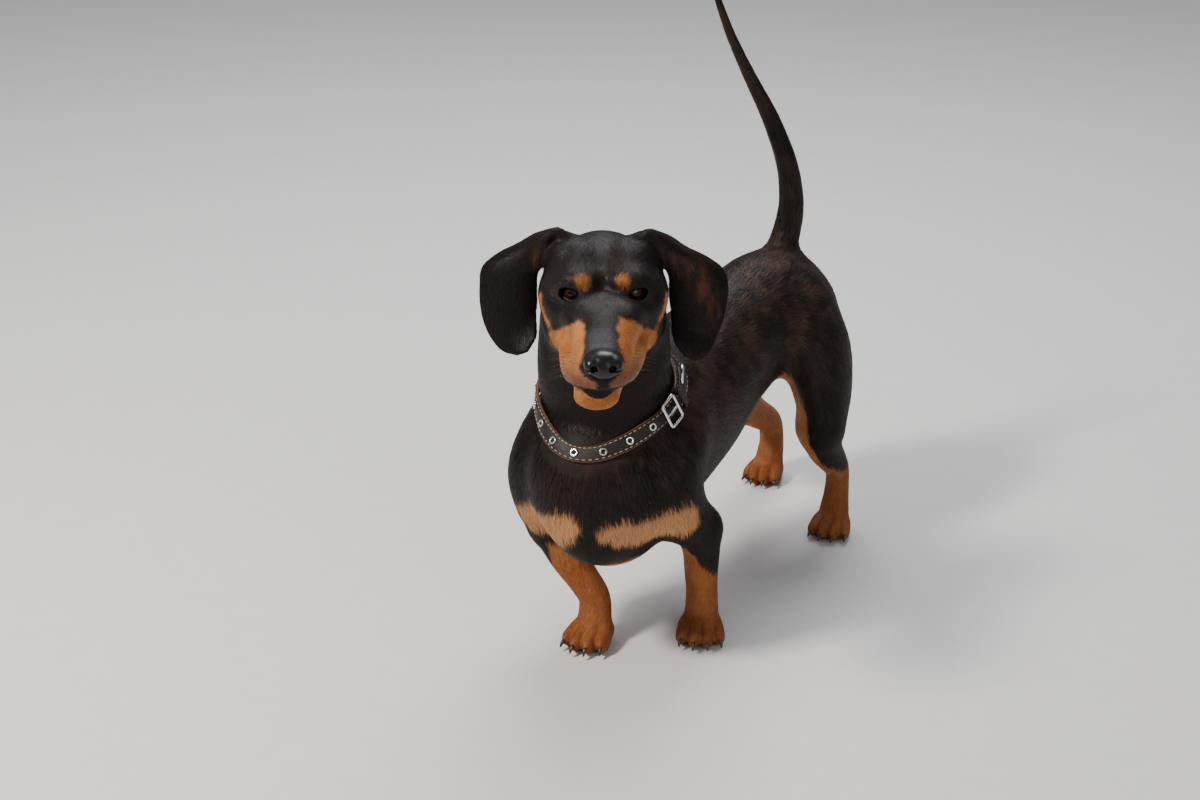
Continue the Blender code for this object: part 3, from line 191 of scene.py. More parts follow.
def smooth_loop(places: Array, steps: int) -> Array:
    """Places on a smooth closed curve through the given ones."""
    return np.array(smooth_curve(np.vstack([places[-1:], places, places[:2]]), steps))


class Limb:
    """Elliptical sweep through rows of x, y, z, side radius and up radius."""

    def __init__(self, rows: Array, up: tuple = (0.0, 0.0, 1.0), steps: int = 5) -> None:
        """Keep the smoothed rows."""
        rows = smooth_stations(rows, steps)
        self.path = rows[:, :3]
        self.side = rows[:, 3]
        self.rise = rows[:, 4]
        self.up = np.asarray(up, float)

    def bounds(self) -> tuple[Array, Array]:
        """Lowest and highest corner."""
        reach = np.maximum(self.side, self.rise)[:, None]
        return (self.path - reach).min(0), (self.path + reach).max(0)

    def distance(self, points: Array) -> Array:
        """About how far each point is outside."""
        best = np.full(len(points), 1.0)
        for i in range(len(self.path) - 1):
            start = self.path[i]
            span = self.path[i + 1] - start
            length = np.linalg.norm(span)
            along = span / length
            side = unit(np.cross(self.up, along))
            rise = np.cross(along, side)
            offset = points - start
            t = np.clip(offset @ along / length, 0.0, 1.0)
            offset = offset - t[:, None] * span
            side_r = self.side[i] * (1 - t) + self.side[i + 1] * t
            rise_r = self.rise[i] * (1 - t) + self.rise[i + 1] * t
            end_r = np.minimum(side_r, rise_r)
            reach = lengths(offset) + 1e-9
            ratio = np.sqrt((offset @ side / side_r) ** 2 + (offset @ rise / rise_r) ** 2
                            + (offset @ along / end_r) ** 2) + 1e-9
            best = np.minimum(best, reach * (1.0 - 1.0 / ratio))
        return best


class Plate:
    """A curved plate round a net of points, its half thickness given for each row."""

    def __init__(self, net: Array, half_rows: Array) -> None:
        """Build the search tree of the net."""
        rows, columns = net.shape[:2]
        self.points = net.reshape(-1, 3)
        faces = []
        self.half = []
        for i in range(rows - 1):
            for j in range(columns - 1):
                a = i * columns + j
                d = a + columns
                faces += [(a, a + 1, d + 1), (a, d + 1, d)]
                self.half += [half_rows[i], half_rows[i]]
        self.tree = BVHTree.FromPolygons([Vector(p) for p in self.points], faces)
        self.reach = max(half_rows)

    def bounds(self) -> tuple[Array, Array]:
        """Lowest and highest corner."""
        return self.points.min(0) - self.reach, self.points.max(0) + self.reach

    def distance(self, points: Array) -> Array:
        """About how far each point is outside, up to a limit."""
        limit = 12.0 * MM
        out = np.full(len(points), limit)
        find = self.tree.find_nearest
        for i, point in enumerate(points.tolist()):
            place, _, index, away = find(point, limit)
            if place is not None:
                out[i] = away - self.half[index]
        return out


def smooth_low(a: Array, b: Array, blend: float) -> Array:
    """The lower of two fields, rounded where they meet."""
    if blend <= 0.0:
        return np.minimum(a, b)
    h = np.maximum(blend - np.abs(a - b), 0.0) / blend
    return np.minimum(a, b) - h * h * blend * 0.25


class Kind(Enum):
    """How a finish makes its colour."""

    MARKS = "marks"
    EYE = "eye"
    NOSE = "nose"
    LEATHER = "leather"
    METAL = "metal"
    PLAIN = "plain"


class Board:
    """The nodes of one tree, added and joined in one step."""

    def __init__(self, tree: bpy.types.NodeTree) -> None:
        """Keep the tree."""
        self.tree = tree

    def fill(self, node: bpy.types.Node, inputs: dict) -> None:
        """Set a node's inputs, each to a value or to the socket that feeds it."""
        for key, value in inputs.items():
            if isinstance(value, Socket):
                self.tree.links.new(value, node.inputs[key])
            else:
                node.inputs[key].default_value = value

    def add(self, kind: str, inputs: dict | None = None, **settings: str) -> bpy.types.Node:
        """A new node.

        Args:
            kind: Type of the node.
            inputs: Value or feeding socket of each input, by its name or number.
            settings: The node's own properties.

        Returns:
            The node.
        """
        node = self.tree.nodes.new(kind)
        for key, value in settings.items():
            setattr(node, key, value)
        self.fill(node, inputs or {})
        return node

    def value(self, name: str) -> Socket:
        """A named attribute as a number."""
        return self.add("ShaderNodeAttribute", attribute_name=name).outputs["Fac"]

    def ramp(self, factor: Socket, stops: list) -> Socket:
        """A colour ramp with the given places and colours."""
        node = self.add("ShaderNodeValToRGB", {"Fac": factor})
        bar = node.color_ramp
        while len(bar.elements) < len(stops):
            bar.elements.new(0.5)
        for element, (place, colour) in zip(bar.elements, stops):
            element.position = place
            element.color = (*colour, 1.0)
        return node.outputs["Color"]

    def mixed(self, factor: object, a: object, b: object, way: str = "MIX") -> Socket:
        """A colour from two, each a tuple or a socket."""
        first, second = ((*c, 1.0) if isinstance(c, tuple) else c for c in (a, b))
        node = self.add("ShaderNodeMix", data_type="RGBA", blend_type=way)
        self.fill(node, {"Factor": factor, 6: first, 7: second})
        return node.outputs[2]


@dataclass(frozen=True)
class Finish:
    """A procedural material, made once.

    Each kind's method takes the board, a noise and the place on the object, and gives the shader's inputs,
    the height for the bump and the depth of the bump in metres.
    """

    name: str
    kind: Kind
    colour: tuple = (0.5, 0.5, 0.5)
    second: tuple = (0.5, 0.5, 0.5)
    roughness: float = 0.5
    bump: float = 0.0
    grain: float = 900.0
    specular: float = 0.5
    coat: float = 0.0
    sheen: float = 0.0

    def material(self) -> bpy.types.Material:
        """The material of this name, built the first time it is asked for."""
        found = bpy.data.materials.get(self.name)
        if found is not None:
            return found
        made = bpy.data.materials.new(self.name)
        made.use_nodes = True
        board = Board(made.node_tree)
        place = board.add("ShaderNodeTexCoord").outputs["Object"]
        noise = board.add("ShaderNodeTexNoise", {"Scale": self.grain, "Detail": 4.0, "Vector": place})
        build = {Kind.MARKS: self.from_marks, Kind.EYE: self.from_eye, Kind.NOSE: self.from_nose,
                 Kind.LEATHER: self.from_leather}.get(self.kind, self.from_noise)
        inputs, height, deep = build(board, noise.outputs["Fac"], place)
        if self.bump > 0.0:
            bump = board.add("ShaderNodeBump", {"Strength": self.bump, "Distance": deep, "Height": height})
            inputs["Normal"] = bump.outputs["Normal"]
        board.fill(made.node_tree.nodes["Principled BSDF"], {
            "Roughness": self.roughness, "Specular IOR Level": self.specular, "Coat Weight": self.coat,
            "Coat Roughness": 0.06, "Sheen Weight": self.sheen, "Sheen Roughness": 0.45,
            "Metallic": float(self.kind is Kind.METAL), **inputs})
        return made

    def from_marks(self, board: Board, noise: object, place: object) -> tuple[dict, object, float]:
        """Colour from the markings, a little uneven."""
        marks = board.add("ShaderNodeAttribute", attribute_name="marks")
        spread = board.add("ShaderNodeMapRange", {"To Min": 0.80, "To Max": 1.20, "Value": noise})
        shade = board.add("ShaderNodeHueSaturation", {"Color": marks.outputs["Color"],
                                                      "Value": spread.outputs["Result"]})
        return {"Base Color": shade.outputs["Color"]}, noise, 0.0004

    def from_eye(self, board: Board, noise: object, place: object) -> tuple[dict, object, float]:
        """Pupil, iris with fibres, dark ring and the white, by the angle from the gaze."""
        angle = board.value("angle")
        pair = board.add("ShaderNodeCombineXYZ", {"X": board.value("turn"), "Y": angle})
        fibre = board.add("ShaderNodeTexWave", {"Scale": 22.0, "Distortion": 6.0,
                                                "Vector": pair.outputs["Vector"]})
        iris = board.mixed(fibre.outputs["Fac"], self.colour, self.second)
        pupil = board.ramp(angle, [(0.0, (0, 0, 0)), (0.17, (0, 0, 0)), (0.20, (1, 1, 1)), (0.42, (1, 1, 1)),
                                   (0.48, (0.12, 0.12, 0.12)), (0.56, (0.3, 0.3, 0.3))])
        return {"Base Color": board.mixed(1.0, iris, pupil, "MULTIPLY")}, noise, 0.0

    def from_nose(self, board: Board, noise: object, place: object) -> tuple[dict, object, float]:
        """Pebbled black leather, with painted shade in the nostrils."""
        pebble = board.add("ShaderNodeTexVoronoi", {"Scale": self.grain, "Vector": place})
        base = board.mixed(noise, self.colour, self.second)
        dark = board.mixed(board.value("nostril_shade"), base, (0.001, 0.001, 0.001))
        return {"Base Color": dark}, pebble.outputs["Distance"], 0.0005

    def from_leather(self, board: Board, noise: object, place: object) -> tuple[dict, object, float]:
        """Grained leather, paler along its worn edges, its roughness patchy."""
        grain = board.add("ShaderNodeTexVoronoi", {"Scale": self.grain * 1.6, "Vector": place})
        edge = board.value("edge")
        wear = board.add("ShaderNodeMapRange", {"From Min": 0.84, "From Max": 1.0, "Value": edge})
        worn = board.add("ShaderNodeTexNoise", {"Scale": 90.0, "Detail": 3.0, "Vector": place})
        patchy = worn.outputs["Fac"]
        face = board.mixed(patchy, self.colour, tuple(1.9 * c for c in self.colour))
        rough = board.add("ShaderNodeMapRange", {"To Min": self.roughness - 0.1,
                                                 "To Max": self.roughness + 0.15, "Value": patchy})
        return {"Base Color": board.mixed(wear.outputs["Result"], face, self.second),
                "Roughness": rough.outputs["Result"]}, grain.outputs["Distance"], 0.0003

    def from_noise(self, board: Board, noise: object, place: object) -> tuple[dict, object, float]:
        """Two close colours by noise, with fine bump."""
        return {"Base Color": board.mixed(noise, self.colour, self.second)}, noise, 0.0002


def linked(name: str, data: bpy.types.ID) -> Thing:
    """An object of a mesh, camera or light, in the scene."""
    thing = bpy.data.objects.new(name, data)
    bpy.context.scene.collection.objects.link(thing)
    return thing


def array_object(name: str, vertices: Array, loops: Array, starts: Array) -> Thing:
    """A smooth mesh object from arrays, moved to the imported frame.

    Args:
        name: Name of the object.
        vertices: Places in metres.
        loops: The vertex at each corner of each face.
        starts: Where each face begins among the corners.

    Returns:
        The object.
    """
    mesh = bpy.data.meshes.new(name)
    mesh.vertices.add(len(vertices))
    mesh.vertices.foreach_set("co", (vertices + CENTRING_SHIFT).ravel().astype(np.float32))
    mesh.loops.add(len(loops))
    mesh.loops.foreach_set("vertex_index", loops.astype(np.int32))
    mesh.polygons.add(len(starts))
    mesh.polygons.foreach_set("loop_start", starts.astype(np.int32))
    mesh.update(calc_edges=True)
    mesh.polygons.foreach_set("use_smooth", np.ones(len(starts), bool))
    return linked(name, mesh)


def quad_object(name: str, vertices: Array, quads: Array) -> Thing:
    """A mesh object of quads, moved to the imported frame."""
    return array_object(name, vertices, quads.ravel(), np.arange(0, quads.size, 4))


def mesh_object(name: str, vertices: list, faces: list, smooth: bool = True) -> Thing:
    """A mesh object of any faces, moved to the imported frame, its faces outward."""
    mesh = bpy.data.meshes.new(name)
    mesh.from_pydata((np.array(vertices) + CENTRING_SHIFT).tolist(), [], faces)
    graph = bmesh.new()
    graph.from_mesh(mesh)
    bmesh.ops.recalc_face_normals(graph, faces=graph.faces)
    if graph.calc_volume(signed=True) < 0.0:
        bmesh.ops.reverse_faces(graph, faces=graph.faces)
    graph.to_mesh(mesh)
    graph.free()
    mesh.polygons.foreach_set("use_smooth", [smooth] * len(mesh.polygons))
    mesh.update()
    return linked(name, mesh)


def set_colours(mesh: bpy.types.Mesh, colours: Array) -> None:
    """Store linear colours as the attribute marks."""
    layer = mesh.color_attributes.new("marks", "FLOAT_COLOR", "POINT")
    rows = np.ones((len(mesh.vertices), 4), np.float32)
    rows[:, :3] = colours
    layer.data.foreach_set("color", rows.ravel())


def set_numbers(mesh: bpy.types.Mesh, name: str, values: Array) -> None:
    """Store one number at each vertex."""
    layer = mesh.attributes.new(name, "FLOAT", "POINT")
    layer.data.foreach_set("value", np.asarray(values, np.float32))


def set_map(mesh: bpy.types.Mesh, spots: Array) -> None:
    """Store the unwrap as the map OFBake."""
    layer = mesh.uv_layers.new(name="OFBake")
    layer.data.foreach_set("uv", spots.astype(np.float32).ravel())


def dressed(thing: Thing, finish: Finish) -> Thing:
    """Give a piece its one material."""
    thing.data.materials.clear()
    thing.data.materials.append(finish.material())
    return thing


# Trunk: x, y, z, side radius, up radius in millimetres, from the shoulders to the rump
BARREL = (
    (-21, -122, 162, 54, 48), (-26, -82, 166, 66, 63), (-24, -35, 171, 66, 64), (-20, 15, 176, 60, 62),
    (-15, 60, 187, 52, 56), (-10, 105, 198, 48, 54), (-6, 150, 206, 49, 53), (-4, 182, 210, 42, 43),
)
KEEL = (
    (-15, -126, 126, 38, 38), (-20, -98, 119, 44, 43), (-22, -60, 120, 42, 42), (-20, -15, 126, 36, 36),
    (-16, 35, 142, 30, 30),
)
NECK = (
    (-25, -74, 165, 58, 56), (-26, -88, 202, 52, 50), (-25.5, -100, 236, 52, 46),
    (-22.5, -106, 268, 50.5, 44), (-23, -108, 296, 46, 42), (-25, -106, 310, 39, 38),
)
NECK_SIDE_REFERENCE = (0.15, -0.98, 0.0)
FORECHEST = ((-13, -124, 146), (32, 50, 38))
CHEST_HEADING = 12.0

# Shoulders and forelegs, right then left: rows from the withers down to the wrist
SHOULDER_RIGHT = (
    (-48, -62, 208, 20, 16), (-68, -92, 180, 25, 26), (-76, -112, 154, 25, 30), (-76, -110, 126, 23, 28),
    (-73, -103, 98, 18, 20),
)
SHOULDER_LEFT = (
    (4, -38, 212, 20, 16), (20, -70, 182, 25, 26), (27, -92, 156, 25, 30), (31, -82, 126, 22, 28),
    (39, -62, 102, 18, 20),
)
FOREARM_RIGHT = (
    (-72, -103, 96, 17, 19), (-58, -103, 72, 15, 15), (-44, -100, 52, 13.5, 13), (-36, -97, 36, 13, 12.5),
    (-33, -102, 20, 14, 12),
)
FOREARM_LEFT = (
    (40, -61, 100, 17, 19), (39, -56, 76, 15, 15), (37, -51, 54, 13.5, 13), (36, -47, 36, 13, 12.5),
    (38, -51, 20, 14, 12),
)
LIMB_REFERENCE = (0.2, -0.98, 0.0)

# Hind legs, right then left
THIGH_RIGHT = (
    (-30, 165, 205, 28, 44), (-42, 168, 172, 26, 44), (-48, 172, 140, 21, 36), (-49, 178, 116, 18, 26),
)
THIGH_LEFT = (
    (24, 164, 205, 31, 48), (41, 163, 172, 29, 49), (51, 158, 138, 24, 41), (54, 150, 112, 20, 29),
)
SHANK_RIGHT = (
    (-49, 180, 118, 19, 26), (-49, 204, 94, 16, 21), (-45, 236, 70, 13, 15), (-42, 258, 54, 11.5, 13),
    (-40, 260, 34, 11.5, 12), (-39, 254, 20, 13, 12),
)
SHANK_LEFT = (
    (53, 148, 112, 19, 27), (54, 160, 88, 15, 20), (56, 177, 68, 12, 15), (56, 188, 54, 10.5, 12.5),
    (57, 186, 36, 11, 11), (58, 180, 20, 13, 12),
)

# Paws: floor place of the pad centre, heading, scale
PAWS = {
    "forepaw_right": (-33, -107, 4, 0.93),
    "forepaw_left": (40, -57, 26, 0.93),
    "hindpaw_right": (-39, 247, 4, 0.86),
    "hindpaw_left": (60, 170, 10, 0.88),
}

# Tail: x, y, z, side radius, up radius
TAIL = (
    (-7, 172, 226, 24, 24), (-9, 190, 238, 17, 17), (-10, 204, 256, 13.2, 13.2),
    (-8, 211, 285, 11.4, 11.4), (-12, 208, 322, 9.6, 9.6), (-24, 198, 363, 7.7, 7.7),
    (-40, 185, 403, 5.6, 5.6), (-51, 170, 439, 4.2, 4.2), (-57, 156, 471, 3.1, 3.1),
    (-61, 145, 495, 2.2, 2.2),
)
TAIL_REFERENCE = (1.0, 0.2, 0.0)

# Head, in millimetres ahead, left and up of the eye midpoint: balls as centre and radii, sweeps as rows with
# their side and up radius
SKULL = ((-50, 0, -7), (46, 36, 32))
MUZZLE = (
    (-12, 0, -22, 30, 24), (10, 0, -23, 26, 21.5), (32, 0, -25, 23, 19.5), (54, 0, -28, 20.5, 17),
    (70, 0, -31, 17.5, 14.5), (77, 0, -32.5, 14, 12),
)
JAW = (
    (-45, 0, -42, 30, 20), (-15, 0, -45, 26, 17), (20, -1, -49, 20, 13), (50, -3.5, -53.5, 17, 11.5),
    (69, -5, -54.5, 16, 10),
)
LIP = (
    (74, 11, -38.5, 8.5, 7), (62, 16.5, -40, 8.5, 8.5), (42, 20, -41.5, 8.5, 9), (18, 23, -42, 8, 9),
    (0, 25, -39, 7.5, 7.5),
)
LIP_FRONT = ((76, -2, -38), (11, 15, 7.5))
LIP_SWING = -0.045
MOUTH_LINE = (
    (92, 0, -44.5), (82, 11, -45), (70, 19, -46.5), (48, 26, -49.5), (24, 30, -50), (4, 33, -46),
)
MOUTH_RADIUS = 1.4
LID_MOUND_RADII = (10.5, 14, 11)
NOSE_BED = ((76, 0, -28), (12, 13, 10))

# Paired balls as centre, radii and blend: parietal, crown, zygomatic arch and cheek, then maxilla and brow
BRAINCASE = (
    ((-42, 17, -4), (38, 22, 32), 5.0), ((-50, 28, 14), (24, 13, 16), 6.0),
    ((-29, 31, -10), (32, 17, 19), 12.0), ((-32, 27, -34), (28, 17, 22), 12.0),
)
FACE = (((8, 15, -14), (26, 13, 12), 10.0), ((-10.5, 16.5, 7.5), (16, 14, 8), 9.0))

# Ears, each row from the front edge to the back edge, root first
EAR_RIGHT = (
    ((-43, 27, 26), (-70, 30, 20)), ((-44, 34, 32), (-69, 46, 22)), ((-43, 41.5, 28), (-68, 62, 14.5)),
    ((-46, 42.5, 18.5), (-67, 78, 7.5)), ((-50, 45.3, 8.5), (-66, 89, -1.5)),
    ((-53, 50.5, -2.5), (-64, 91, -13)), ((-54, 50.8, -13.5), (-61, 91, -28)),
    ((-53, 50.8, -25), (-58, 88.5, -41)), ((-51, 51.5, -36), (-54, 83, -52)),
    ((-44, 51, -47), (-48, 75, -59.5)), ((-38, 57, -57), (-42, 64.5, -61)),
)
EAR_LEFT = (
    ((-43, 27, 26), (-70, 30, 20)), ((-44, 34, 31), (-69, 46, 20)), ((-43, 40, 26), (-68, 60, 12)),
    ((-47, 43, 16.5), (-67, 76.5, 5)), ((-51, 46.3, 6), (-66, 88.5, -3.5)),
    ((-54, 50.3, -5), (-64, 92, -14)), ((-55, 50.3, -17), (-62, 91.5, -27)),
    ((-56, 51.6, -28), (-59, 88.5, -41)), ((-53, 52.6, -39), (-55, 83.5, -52.5)),
    ((-42, 54, -50.5), (-47, 77.5, -62)), ((-39, 61.7, -61), (-42, 68.4, -65)),
)
EAR_BULGE = (0, 0.5, 1.5, 4, 6, 7, 6.5, 6, 4.5, 2.5, 1)
EAR_HALF_THICKNESS = (5.0, 4.4, 3.6, 2.8, 2.3, 2.0, 1.9, 1.8, 1.8, 1.7, 1.6)
EAR_BASE = ((-55, 35, 13), (15, 9, 16))
EAR_CUP = ((-60, 42, -2), (8, 5, 8))

# Collar: a strap carried round the neck, its fittings placed by millimetres of strap from the throat
COLLAR_CENTRE = (-24, -100, 217)
COLLAR_NORMAL = (0.06, -0.386, 0.92)
COLLAR_SAMPLES = 44
COLLAR_SMOOTHING = 3
COLLAR_SMOOTHING_WIDTH = 1.6
STRAP_WIDTH = 13.0
STRAP_THICKNESS = 3.0
STRAP_CLEARANCE = 0.5
EYELET_COUNT = 8
EYELET_PITCH = 21.5
EYELET_FIRST = 70.0
EYELET_OUTER = 3.2
EYELET_HOLE = 1.6
EYELET_LIFT = 0.35
BUCKLE_PLACE = 90.0
BUCKLE_LENGTH = 15.0
BUCKLE_WIDTH = 21.0
BUCKLE_WIRE = 1.3
PRONG_WIRE = 1.0
BUCKLE_LIFT = 1.0
BUCKLE_CORNER = 2.5
BUCKLE_CORNER_STEPS = 4
END_TIP = 134.0
END_BASE = 100.0
END_LIFT = 0.8
END_THICKNESS = 2.6
END_INSET = 0.4
END_ROUNDING = 6.0
KEEPER_PLACE = 104.5
KEEPER_LENGTH = 6.0
KEEPER_WALL = 1.5
KEEPER_CLEARANCE = 0.5
KEEPER_LIFT = 0.6
KEEPER_HEADROOM = 0.6
D_RING_PLACE = 119.0
D_RING_RADIUS = 8.0
D_RING_WIRE = 1.1
D_RING_LIFT = 4.0
D_RING_ASIDE = 7.0
D_RING_LEAN = (0.9, 0.45)
D_RING_STEPS = 12
D_RING_BAR = 4.5

# Toes: left and ahead of the pad's middle, and turn. Claws: reach and height along the toe, and radius
CLAW_PATH = ((7.0, 8.4), (11.0, 8.9), (14.2, 7.4), (16.8, 4.2))
CLAW_RADII = (2.2, 2.1, 1.6, 0.6)
TOES = ((-14.5, 9.0, -14.0), (-5.2, 15.0, -4.0), (5.2, 15.0, 4.0), (14.5, 9.0, 14.0))

# Nose leather
NOSE_MARGIN = 3.0 * MM
NOSE_CENTRE = (80.5, 0.0, -25.8)
NOSE_RADII = (10.8, 13.4, 8.8)
NOSE_BASE = ((82.5, 0.0, -30.5), (8.5, 9.5, 7.0))
NOSE_WING = ((84.0, 8.3, -26.8), (7.6, 5.6, 6.4))
NOSTRIL = (92.0, 6.6, -27.6)
NOSTRIL_RADII = (5.5, 2.7, 2.6)
NOSTRIL_SLIT = ((91, 8.4, -28.6), (87, 12.6, -29.0), (81, 14.6, -27.5))
NOSTRIL_SLIT_RADIUS = 1.1
NOSE_GROOVE = ((93.5, 0, -24.0), (93.0, 0, -30.0), (89.5, 0, -38.0))
NOSE_GROOVE_RADIUS = 0.9

# Eyes, lids and ear joins
EYE_RADIUS = 9.4
EYE_CENTRE = (-7.5, 20.3, -2.0)
EYE_TURN_OUT = 21.0
EYE_SLANT = 7.0
LID_OPENING = (9.0, 8.6, 5.0)
LID_OPENING_AHEAD = 7.5
EAR_BLEND = 2.5
EAR_STEPS = 4
EAR_COLUMNS = 19


def head_rows(rows: object) -> list[list[float]]:
    """Head rows carried to the body frame."""
    return [[*head_point(f, s, u), side * MM, rise * MM] for f, s, u, side, rise in rows]


def swing(f: float) -> float:
    """How far the mouth is set aside at a place along the muzzle."""
    return LIP_SWING * max(f, 0.0)


def head_ball(centre: tuple, radii: tuple, mirror: int = 1, axes: Array | None = None) -> Ball:
    """An ellipsoid placed on the head."""
    f, s, u = centre
    return Ball(head_point(f, s * mirror, u), metres(radii), HEAD_AXES if axes is None else axes)


def eye_axes(mirror: int) -> Array:
    """Axes of one eye: its gaze, its side and its upward axis."""
    turn = math.radians(EYE_TURN_OUT) * mirror
    ahead = np.array([math.cos(turn), math.sin(turn), 0.06]) @ HEAD_AXES
    tilt = math.radians(EYE_SLANT) * mirror
    return axes_from(ahead, HEAD_AXES[2] * math.cos(tilt) - HEAD_AXES[1] * math.sin(tilt))


def eye_place(mirror: int) -> Array:
    """Centre of one eyeball."""
    return head_point(EYE_CENTRE[0], EYE_CENTRE[1] * mirror, EYE_CENTRE[2])


def worked(field: Array, new: Array, blend: float, sign: int) -> Array:
    """A field with a form joined (1) or carved (-1)."""
    return sign * smooth_low(sign * field, new, blend)


class Anatomy:
    """The dog's soft forms as one field, evaluated point by point."""

    def __init__(self) -> None:
        """List every form with its blend and whether it adds or carves."""
        self.forms = [(shape, blend * MM, 1) for shape, blend in self.body() + self.head()]
        for mirror in (1, -1):
            self.forms.append((self.ear(mirror), EAR_BLEND * MM, 1))
            self.forms.append((head_ball(*EAR_CUP, mirror), 2.0 * MM, -1))
            axes = eye_axes(mirror)
            centre = eye_place(mirror) + axes[0] * LID_OPENING_AHEAD * MM
            self.forms.append((Ball(centre, metres(LID_OPENING), axes), 0.8 * MM, -1))
            line = [(f, s * mirror + swing(f), u, MOUTH_RADIUS, MOUTH_RADIUS) for f, s, u in MOUTH_LINE]
            self.forms.append((Limb(head_rows(line)), 1.0 * MM, -1))

    @staticmethod
    def ear(mirror: int) -> Plate:
        """One ear's leather as a curved plate."""
        table = EAR_LEFT if mirror > 0 else EAR_RIGHT
        rows = smooth_stations([[*front, *back, bulge, half] for (front, back), bulge, half
                                in zip(table, EAR_BULGE, EAR_HALF_THICKNESS)], EAR_STEPS)
        net = []
        for row in rows:
            front, back, bulge = row[:3], row[3:6], row[6]
            outward = unit(np.cross(unit(back - front), (0.0, 0.0, 1.0)))
            if outward[0] + outward[1] < 0.0:
                outward = -outward
            t = np.linspace(0.0, 1.0, EAR_COLUMNS)[:, None]
            points = front + (back - front) * t + outward * bulge * 4.0 * t * (1.0 - t)
            points[:, 1] *= mirror
            net.append([head_point(*p) for p in points])
        return Plate(np.array(net), rows[:, 7] * MM)

    @staticmethod
    def body() -> list[tuple]:
        """Trunk, limbs, tail and paws with the blend that joins each."""
        chest = heading_axes(CHEST_HEADING)
        forms = [
            (Limb(metres(BARREL)), 0.0),
            (Limb(metres(KEEL)), 26.0),
            (Ball(*metres(FORECHEST), chest), 20.0),
            (Limb(metres(NECK), NECK_SIDE_REFERENCE), 18.0),
        ]
        for tables, blend in (((SHOULDER_RIGHT, SHOULDER_LEFT), 16.0), ((THIGH_RIGHT, THIGH_LEFT), 18.0),
                              ((FOREARM_RIGHT, FOREARM_LEFT), 8.0), ((SHANK_RIGHT, SHANK_LEFT), 10.0)):
            forms += [(Limb(metres(rows), LIMB_REFERENCE), blend) for rows in tables]
        forms.append((Limb(metres(TAIL), TAIL_REFERENCE), 12.0))
        for x, y, heading, scale in PAWS.values():
            forms += Anatomy.paw(x, y, heading, scale)
        return forms

    @staticmethod
    def paw(x: float, y: float, heading: float, scale: float) -> list[tuple]:
        """Pad, metacarpals and four arched toes about a place on the floor."""
        axes = heading_axes(heading)

        def place(f: float, s: float, u: float) -> Array:
            """A place of the paw in millimetres ahead, left and up."""
            return np.array([x, y, 0.0]) * MM + np.array([f, s, u]) * MM * scale @ axes

        forms = [(Ball(place(-6, 0, 10), np.array([19, 17, 12]) * MM * scale, axes), 6.0)]
        for s, f, turn in TOES:
            toe_axes = heading_axes(heading + turn)
            for where, radii, blend in (((f, s, 9), (12.5, 6.6, 9.0), 2.5),
                                        ((f - 9, s * 0.9, 13), (10, 6.2, 7.5), 4.0)):
                forms.append((Ball(place(*where), metres(radii) * scale, toe_axes), blend))
        return forms

    @staticmethod
    def head() -> list[tuple]:
        """Skull, cheeks, muzzle, jaw, brows, lips and lids."""
        forms = [(head_ball(*SKULL), 14.0)]
        for mirror in (1, -1):
            forms += [(head_ball(centre, radii, mirror), blend) for centre, radii, blend in BRAINCASE]
        forms += [(Limb(head_rows(JAW)), 10.0), (Limb(head_rows(MUZZLE)), 12.0)]
        for mirror in (1, -1):
            forms += [(head_ball(centre, radii, mirror), blend) for centre, radii, blend in FACE]
            lip = [(f, s * mirror + swing(f), u, a, b) for f, s, u, a, b in LIP]
            forms += [(Limb(head_rows(lip)), 6.0),
                      (head_ball(EYE_CENTRE, LID_MOUND_RADII, mirror, eye_axes(mirror)), 8.0),
                      (head_ball(*EAR_BASE, mirror), 8.0)]
        return forms + [(head_ball(*LIP_FRONT), 5.0),
                        (head_ball(*NOSE_BED), 5.0)]

    def value(self, points: Array) -> Array:
        """How far each point is outside the soft forms."""
        out = np.full(len(points), 0.03)
        for shape, blend, sign in self.forms:
            low, high = shape.bounds()
            pad = max(blend, 6.0 * MM)
            near = np.nonzero(np.all((points > low - pad) & (points < high + pad), axis=1))[0]
            if len(near):
                out[near] = worked(out[near], shape.distance(points[near]), blend, sign)
        return out


def coat_depth(points: Array) -> Array:
    """How far the skin lies inside the solids: less on the head, feet and tail tip."""
    from_head = lengths(points - head_point(-20.0, 0.0, -10.0))
    body = ease(0.09, 0.15, from_head) * ease(0.03, 0.09, points[:, 2])
    return (0.35 + 0.65 * body * ease(0.42, 0.30, points[:, 2])) * MM


def graded_axis(low: float, fine_low: float, fine_high: float, high: float) -> Array:
    """Grid places, close together over the head."""
    return np.concatenate([
        np.arange(low, fine_low, BODY_GRID),
        np.arange(fine_low, fine_high, HEAD_GRID),
        np.arange(fine_high, high + BODY_GRID, BODY_GRID),
    ])


def grid_points(axes: list[Array]) -> Array:
    """Every place of a grid."""
    return np.stack([g.ravel() for g in np.meshgrid(*axes, indexing="ij")], 1)


